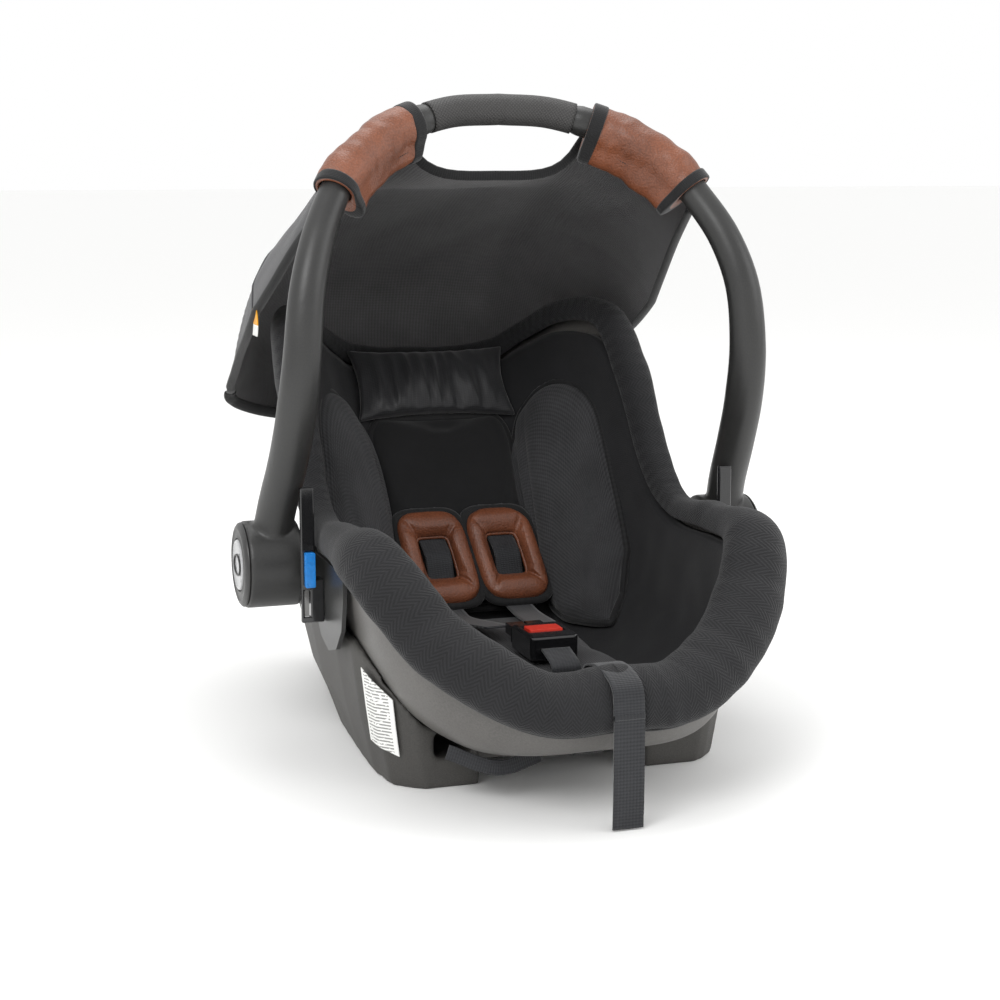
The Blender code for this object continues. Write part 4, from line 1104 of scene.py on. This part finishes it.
canopy = gridPiece("canopyHood", canopyLook["columns"], canopyLook["rows"], canopyPlace, (0.52, 0.55),
                   layers=1)
paint(canopy, "canopyOut", "canopyIn")
canopyMiddle = Vector((0, 0.30 + footLine, 0.33))
for face in canopy.data.polygons:
    face.material_index = 1 if Vector(face.normal).dot(Vector(face.center) - canopyMiddle) < 0 else 0
edgeLines = {"front": canopyAcross(0, 0.001), "left": [canopySpot(-1, k / 50, 0.001) for k in range(51)],
             "right": [canopySpot(1, k / 50, 0.001) for k in range(51)], "hem": canopyAcross(1, 0.001)}
canopyParts = [canopy]
for tag, line in edgeLines.items():
    tape = tubePiece("canopyBinding_" + tag, line, 0.006 if tag == "hem" else 0.0046, 0.0024, sides=10,
                     up=(0, 1, 0.3))
    paint(tape, "binding")
    canopyParts.append(tape)
seam = tubePiece("canopySeam", canopyAcross(canopyLook["seam"], 0.0022), 0.0016, 0.0012, sides=8,
                 up=(0, 1, 0.3))
paint(seam, "canopyOut")
canopyParts.append(seam)
tagLook = {"width": 0.020, "length": 0.024}
tagSeam = canopySpot(-0.98, canopyLook["seam"], 0)


def tagPlace(u, v, w):
    # sewn under the canopy's left edge, and hanging from it
    lean = 0.0010 * math.sin(3 * v)
    return tagSeam + np.array([-0.0026 + w * 0.0008 + lean, (u - 0.8) * tagLook["width"],
                               0.003 - v * tagLook["length"]])


careTag = gridPiece("careRibbon", 10, 12, tagPlace, (tagLook["width"], tagLook["length"]), layers=1)
paint(careTag, "tagOrange", "tagWhite")
for face in careTag.data.polygons:
    face.material_index = 1 if face.center.z < tagSeam[2] + 0.003 - tagLook["length"] * 0.62 else 0
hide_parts("canopy")
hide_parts("care_tag")
canopyParts.append(careTag)
for piece in canopyParts:
    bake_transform(piece)
print("canopy done")

# harness
harness = {"web": 0.025, "thick": 0.0014, "x": 0.034, "slot": 0.141, "insertTop": 0.030, "yoke": 0.075}
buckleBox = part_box("buckle_body")
tongueZ = (buckleBox[0].z + buckleBox[1].z) / 2
padTop = seatPadBox[1].z
strapInset = harness["insertTop"] + 0.0005 + harness["thick"] / 2
behind = -shell["wall"] - 0.006
padWide = {"half": 0.0332, "length": 0.097, "top": 0.129, "low": 0.0324, "thick": 0.0140,
           "windowHalf": 0.0155, "windowEnd": 0.027, "lean": 0.010, "face": 0.68}
for side, flip in (("right", 1), ("left", -1)):
    x = flip * harness["x"]
    lean = padWide["lean"]

    def strapSpot(along, inset, x=x):
        slide = 0.6 * lean * clamped((padWide["top"] - along) / padWide["length"])
        return backPoint(x + slide, along, inset)

    path = [backPoint(x, harness["yoke"] + .020, behind), backPoint(x, harness["slot"] - .010, behind),
            backPoint(x, harness["slot"] - .001, behind + .005), backPoint(x, harness["slot"], .015),
            backPoint(x, harness["slot"] - .001, strapInset - .004),
            strapSpot(harness["slot"] - .008, strapInset),
            strapSpot(.116, strapInset), strapSpot(.100, strapInset + .004),
            strapSpot(.081, strapInset + .0105), strapSpot(.062, strapInset + .004),
            strapSpot(.048, strapInset), strapSpot(.034, strapInset - .0003),
            np.array([x + lean * .6, .222, padTop + .002]),
            np.array([x * .95 + lean * .3, .190, padTop + .004]),
            np.array([flip * .020, .108, tongueZ])]
    strap, line, long = strapPiece("shoulderStrap_" + side, path, harness["web"], harness["thick"], 150)
    paint(strap, "webbing")
    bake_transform(strap)
    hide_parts("shoulder_strap_" + side)

    centre = padWide["top"] - padWide["length"] / 2

    def outline(turn, shrink, x=x, centre=centre):
        # a rounded oblong at a share of the way from the outer edge to the window's edge
        wide = padWide["half"] + (padWide["windowHalf"] - padWide["half"]) * shrink
        high = padWide["length"] / 2
        high += (padWide["length"] / 2 - padWide["windowEnd"] - high) * shrink
        c, s = math.cos(turn), math.sin(turn)
        power = 2 / 5.0 + (2 / 7.0 - 2 / 5.0) * shrink
        a = math.copysign(abs(c) ** power, c) * wide
        b = math.copysign(abs(s) ** power, s) * high
        tilt = lean * (0.5 - (b + padWide["length"] / 2) / padWide["length"])
        return x + a + tilt + lean * 0.35, centre + b

    def padPlace(u, v, w, outline=outline, flip=flip):
        turn = math.tau * u
        if v < padWide["face"]:
            shrink = v / padWide["face"]
            height = math.sin(math.pi * shrink) ** 0.45 if 0 < shrink < 1 else 0.0
            corner = 0.16 * abs(math.sin(2 * turn)) ** 3
            height *= 1 - corner
            height += 0.10 * ripple((math.cos(turn) * 0.03, math.sin(turn) * 0.05, flip), 0.014, 1.0)
            inset = padWide["low"] + 0.003 + (padWide["thick"] - 0.003) * height
        else:
            shrink = 1 - (v - padWide["face"]) / 0.32
            inset = padWide["low"]
        px, along = outline(turn, shrink)
        return backPoint(px, along, inset)

    pad = gridPiece("chestPadCover_" + side, 96, 30, padPlace, (0.28, 0.05))
    clothPuff(pad, lambda p: np.dot(p - backFoot, backNormal) < padWide["low"] + 0.0012, 4.0, 0.002)
    subdivided(pad)
    dress(pad, "leather", "pad_" + side, "chest_pad_" + side)
    rim = [backPoint(*outline(math.tau * k / 140, 0.02), padWide["low"] + 0.0046) for k in range(140)]
    dress(tubePiece("chestPadBinding_" + side, rim, 0.0054, 0.0036, sides=14, closed=True,
                    up=backNormal), "binding", "pad_" + side)
    window = [backPoint(*outline(math.tau * k / 110, 0.97), padWide["low"] + 0.0040) for k in range(110)]
    dress(tubePiece("chestPadWindow_" + side, window, 0.0016, 0.0020, sides=10, closed=True,
                    up=backNormal), "leather", "pad_" + side)
    spots, runs, ups = [], [], []
    for end in (1, -1):
        for k in range(9):
            offset = (k - 4) * 0.0033
            turn = math.atan2(end, offset / padWide["windowHalf"] * 1.1)
            px, along = outline(math.pi / 2 * end, 0.90)
            spots.append(backPoint(px + offset, along + end * 0.0006, padWide["low"] + 0.0070))
            runs.append(backAlong * 1.0 + np.array([0.25, 0, 0]))
            ups.append(backNormal)
    whip = stitches("chestPadStitches_" + side, spots, runs, 0.0052, 0.00065, ups)
    dress(whip, "thread", "pad_" + side)
print("chest pads done")

crotchY = -0.004
crotchPath = [(0, crotchY, .0395), (0, crotchY, padTop - .004), (0, crotchY + .0015, padTop + .008),
              (0, buckleBox[0].y - footLine - .0005, tongueZ)]
crotch, line, crotchLong = strapPiece("crotchStrapWeb", crotchPath, harness["web"], harness["thick"], 60)
dress(crotch, "webbing", "carrier", "crotch_strap")

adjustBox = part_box("adjuster_body")
adjustFloor = adjustBox[0].z - 0.0005
rollFit = {"out": .022, "gap": .0058, "rise": .0272}
rollFront = shell["front"] - shell["wall"] - rollFit["out"] - rollFit["gap"]
rollTop = rimPoint(0)[2] + rollFit["rise"]
adjustPath = [(0, -.0585, adjustFloor + .0045), (0, -.060, adjustFloor + .016), (0, -.074, rollTop - .010),
              (0, -.092, rollTop), (0, -.118, rollTop), (0, rollFront + .0045, rollTop - .0085),
              (0, rollFront, rollTop - .030), (0, rollFront, .090), (0, rollFront, .060),
              (0, rollFront, .030), (0, rollFront + .001, .0015)]
adjustStrap, adjustLine, adjustLong = strapPiece("adjusterStrapWeb", adjustPath, harness["web"],
                                                 harness["thick"], 170)
dress(adjustStrap, "webbing", "carrier", "adjuster_strap")

underPath = [backPoint(0, harness["yoke"] - .012, behind), backPoint(0, .012, behind - .001),
             (0, backFoot[1] - .006, shell["floor"] - .0105), (0, .120, shell["floor"] - .0125),
             (0, -.040, shell["floor"] - .0125), (0, -.0525, shell["floor"] - .0085),
             (0, -.054, shell["floor"] - .002),
             (0, -.0545, adjustFloor + .0045)]
under, line, underLong = strapPiece("underStrapWeb", underPath, harness["web"], harness["thick"], 90)
dress(under, "webbing", "carrier", "under_strap")
elasticPath = [(-.110, -.030, .040), (-.075, -.052, .030), (-.035, -.040, .034)]
elastic, line, elasticLong = strapPiece("coverElasticBand", elasticPath, 0.012, 0.0016, 40, (0, .3, 1))
dress(elastic, "webbing", "carrier", "cover_elastic")

paint(nodes["info_label"], "label")
print("harness done")

# studio
deselectAll()
bpy.ops.mesh.primitive_plane_add(size=60, location=(0, 2.0, 0))
floor = bpy.context.object
floor.name = "studioFloor"
floorFinish, tree, body = newMaterial("paleStudioFloor", {"Base Color": linear(studio["floorColour"]),
                                                          "Roughness": 0.9, "Specular IOR Level": 0.1})
floor.data.materials.append(floorFinish)
world = bpy.data.worlds.new("studioWorld")
bpy.context.scene.world = world
world.use_nodes = True
world.node_tree.nodes["Background"].inputs[0].default_value = linear(studio["worldColour"])
world.node_tree.nodes["Background"].inputs[1].default_value = studio["worldStrength"]


def softLight(name, power, size, place, target):
    data = bpy.data.lights.new(name, "AREA")
    data.energy, data.shape, data.size = power, "DISK", size
    light = bpy.data.objects.new(name, data)
    bpy.context.collection.objects.link(light)
    light.location = place
    light.rotation_euler = (Vector(target) - Vector(place)).to_track_quat("-Z", "Y").to_euler()


softLight("keySoftbox", studio["keyPower"], 1.4, (-1.5, -1.6, 1.9), (0, 0, 0.25))
softLight("fillSoftbox", studio["fillPower"], 1.6, (1.9, -1.2, 1.2), (0, 0, 0.25))
softLight("topSoftbox", studio["topPower"], 1.8, (0.2, 0.6, 2.3), (0, 0, 0.2))
camera = bpy.data.objects.new("photoCamera", bpy.data.cameras.new("photoCamera"))
bpy.context.collection.objects.link(camera)
camera.location = studio["cameraPlace"]
camera.rotation_euler = [math.radians(a) for a in studio["cameraTurn"]]
camera.data.lens = studio["lens"]
camera.data.sensor_width = 36
bpy.context.scene.camera = camera
bpy.context.scene.view_settings.view_transform = "Standard"
print("studio done")
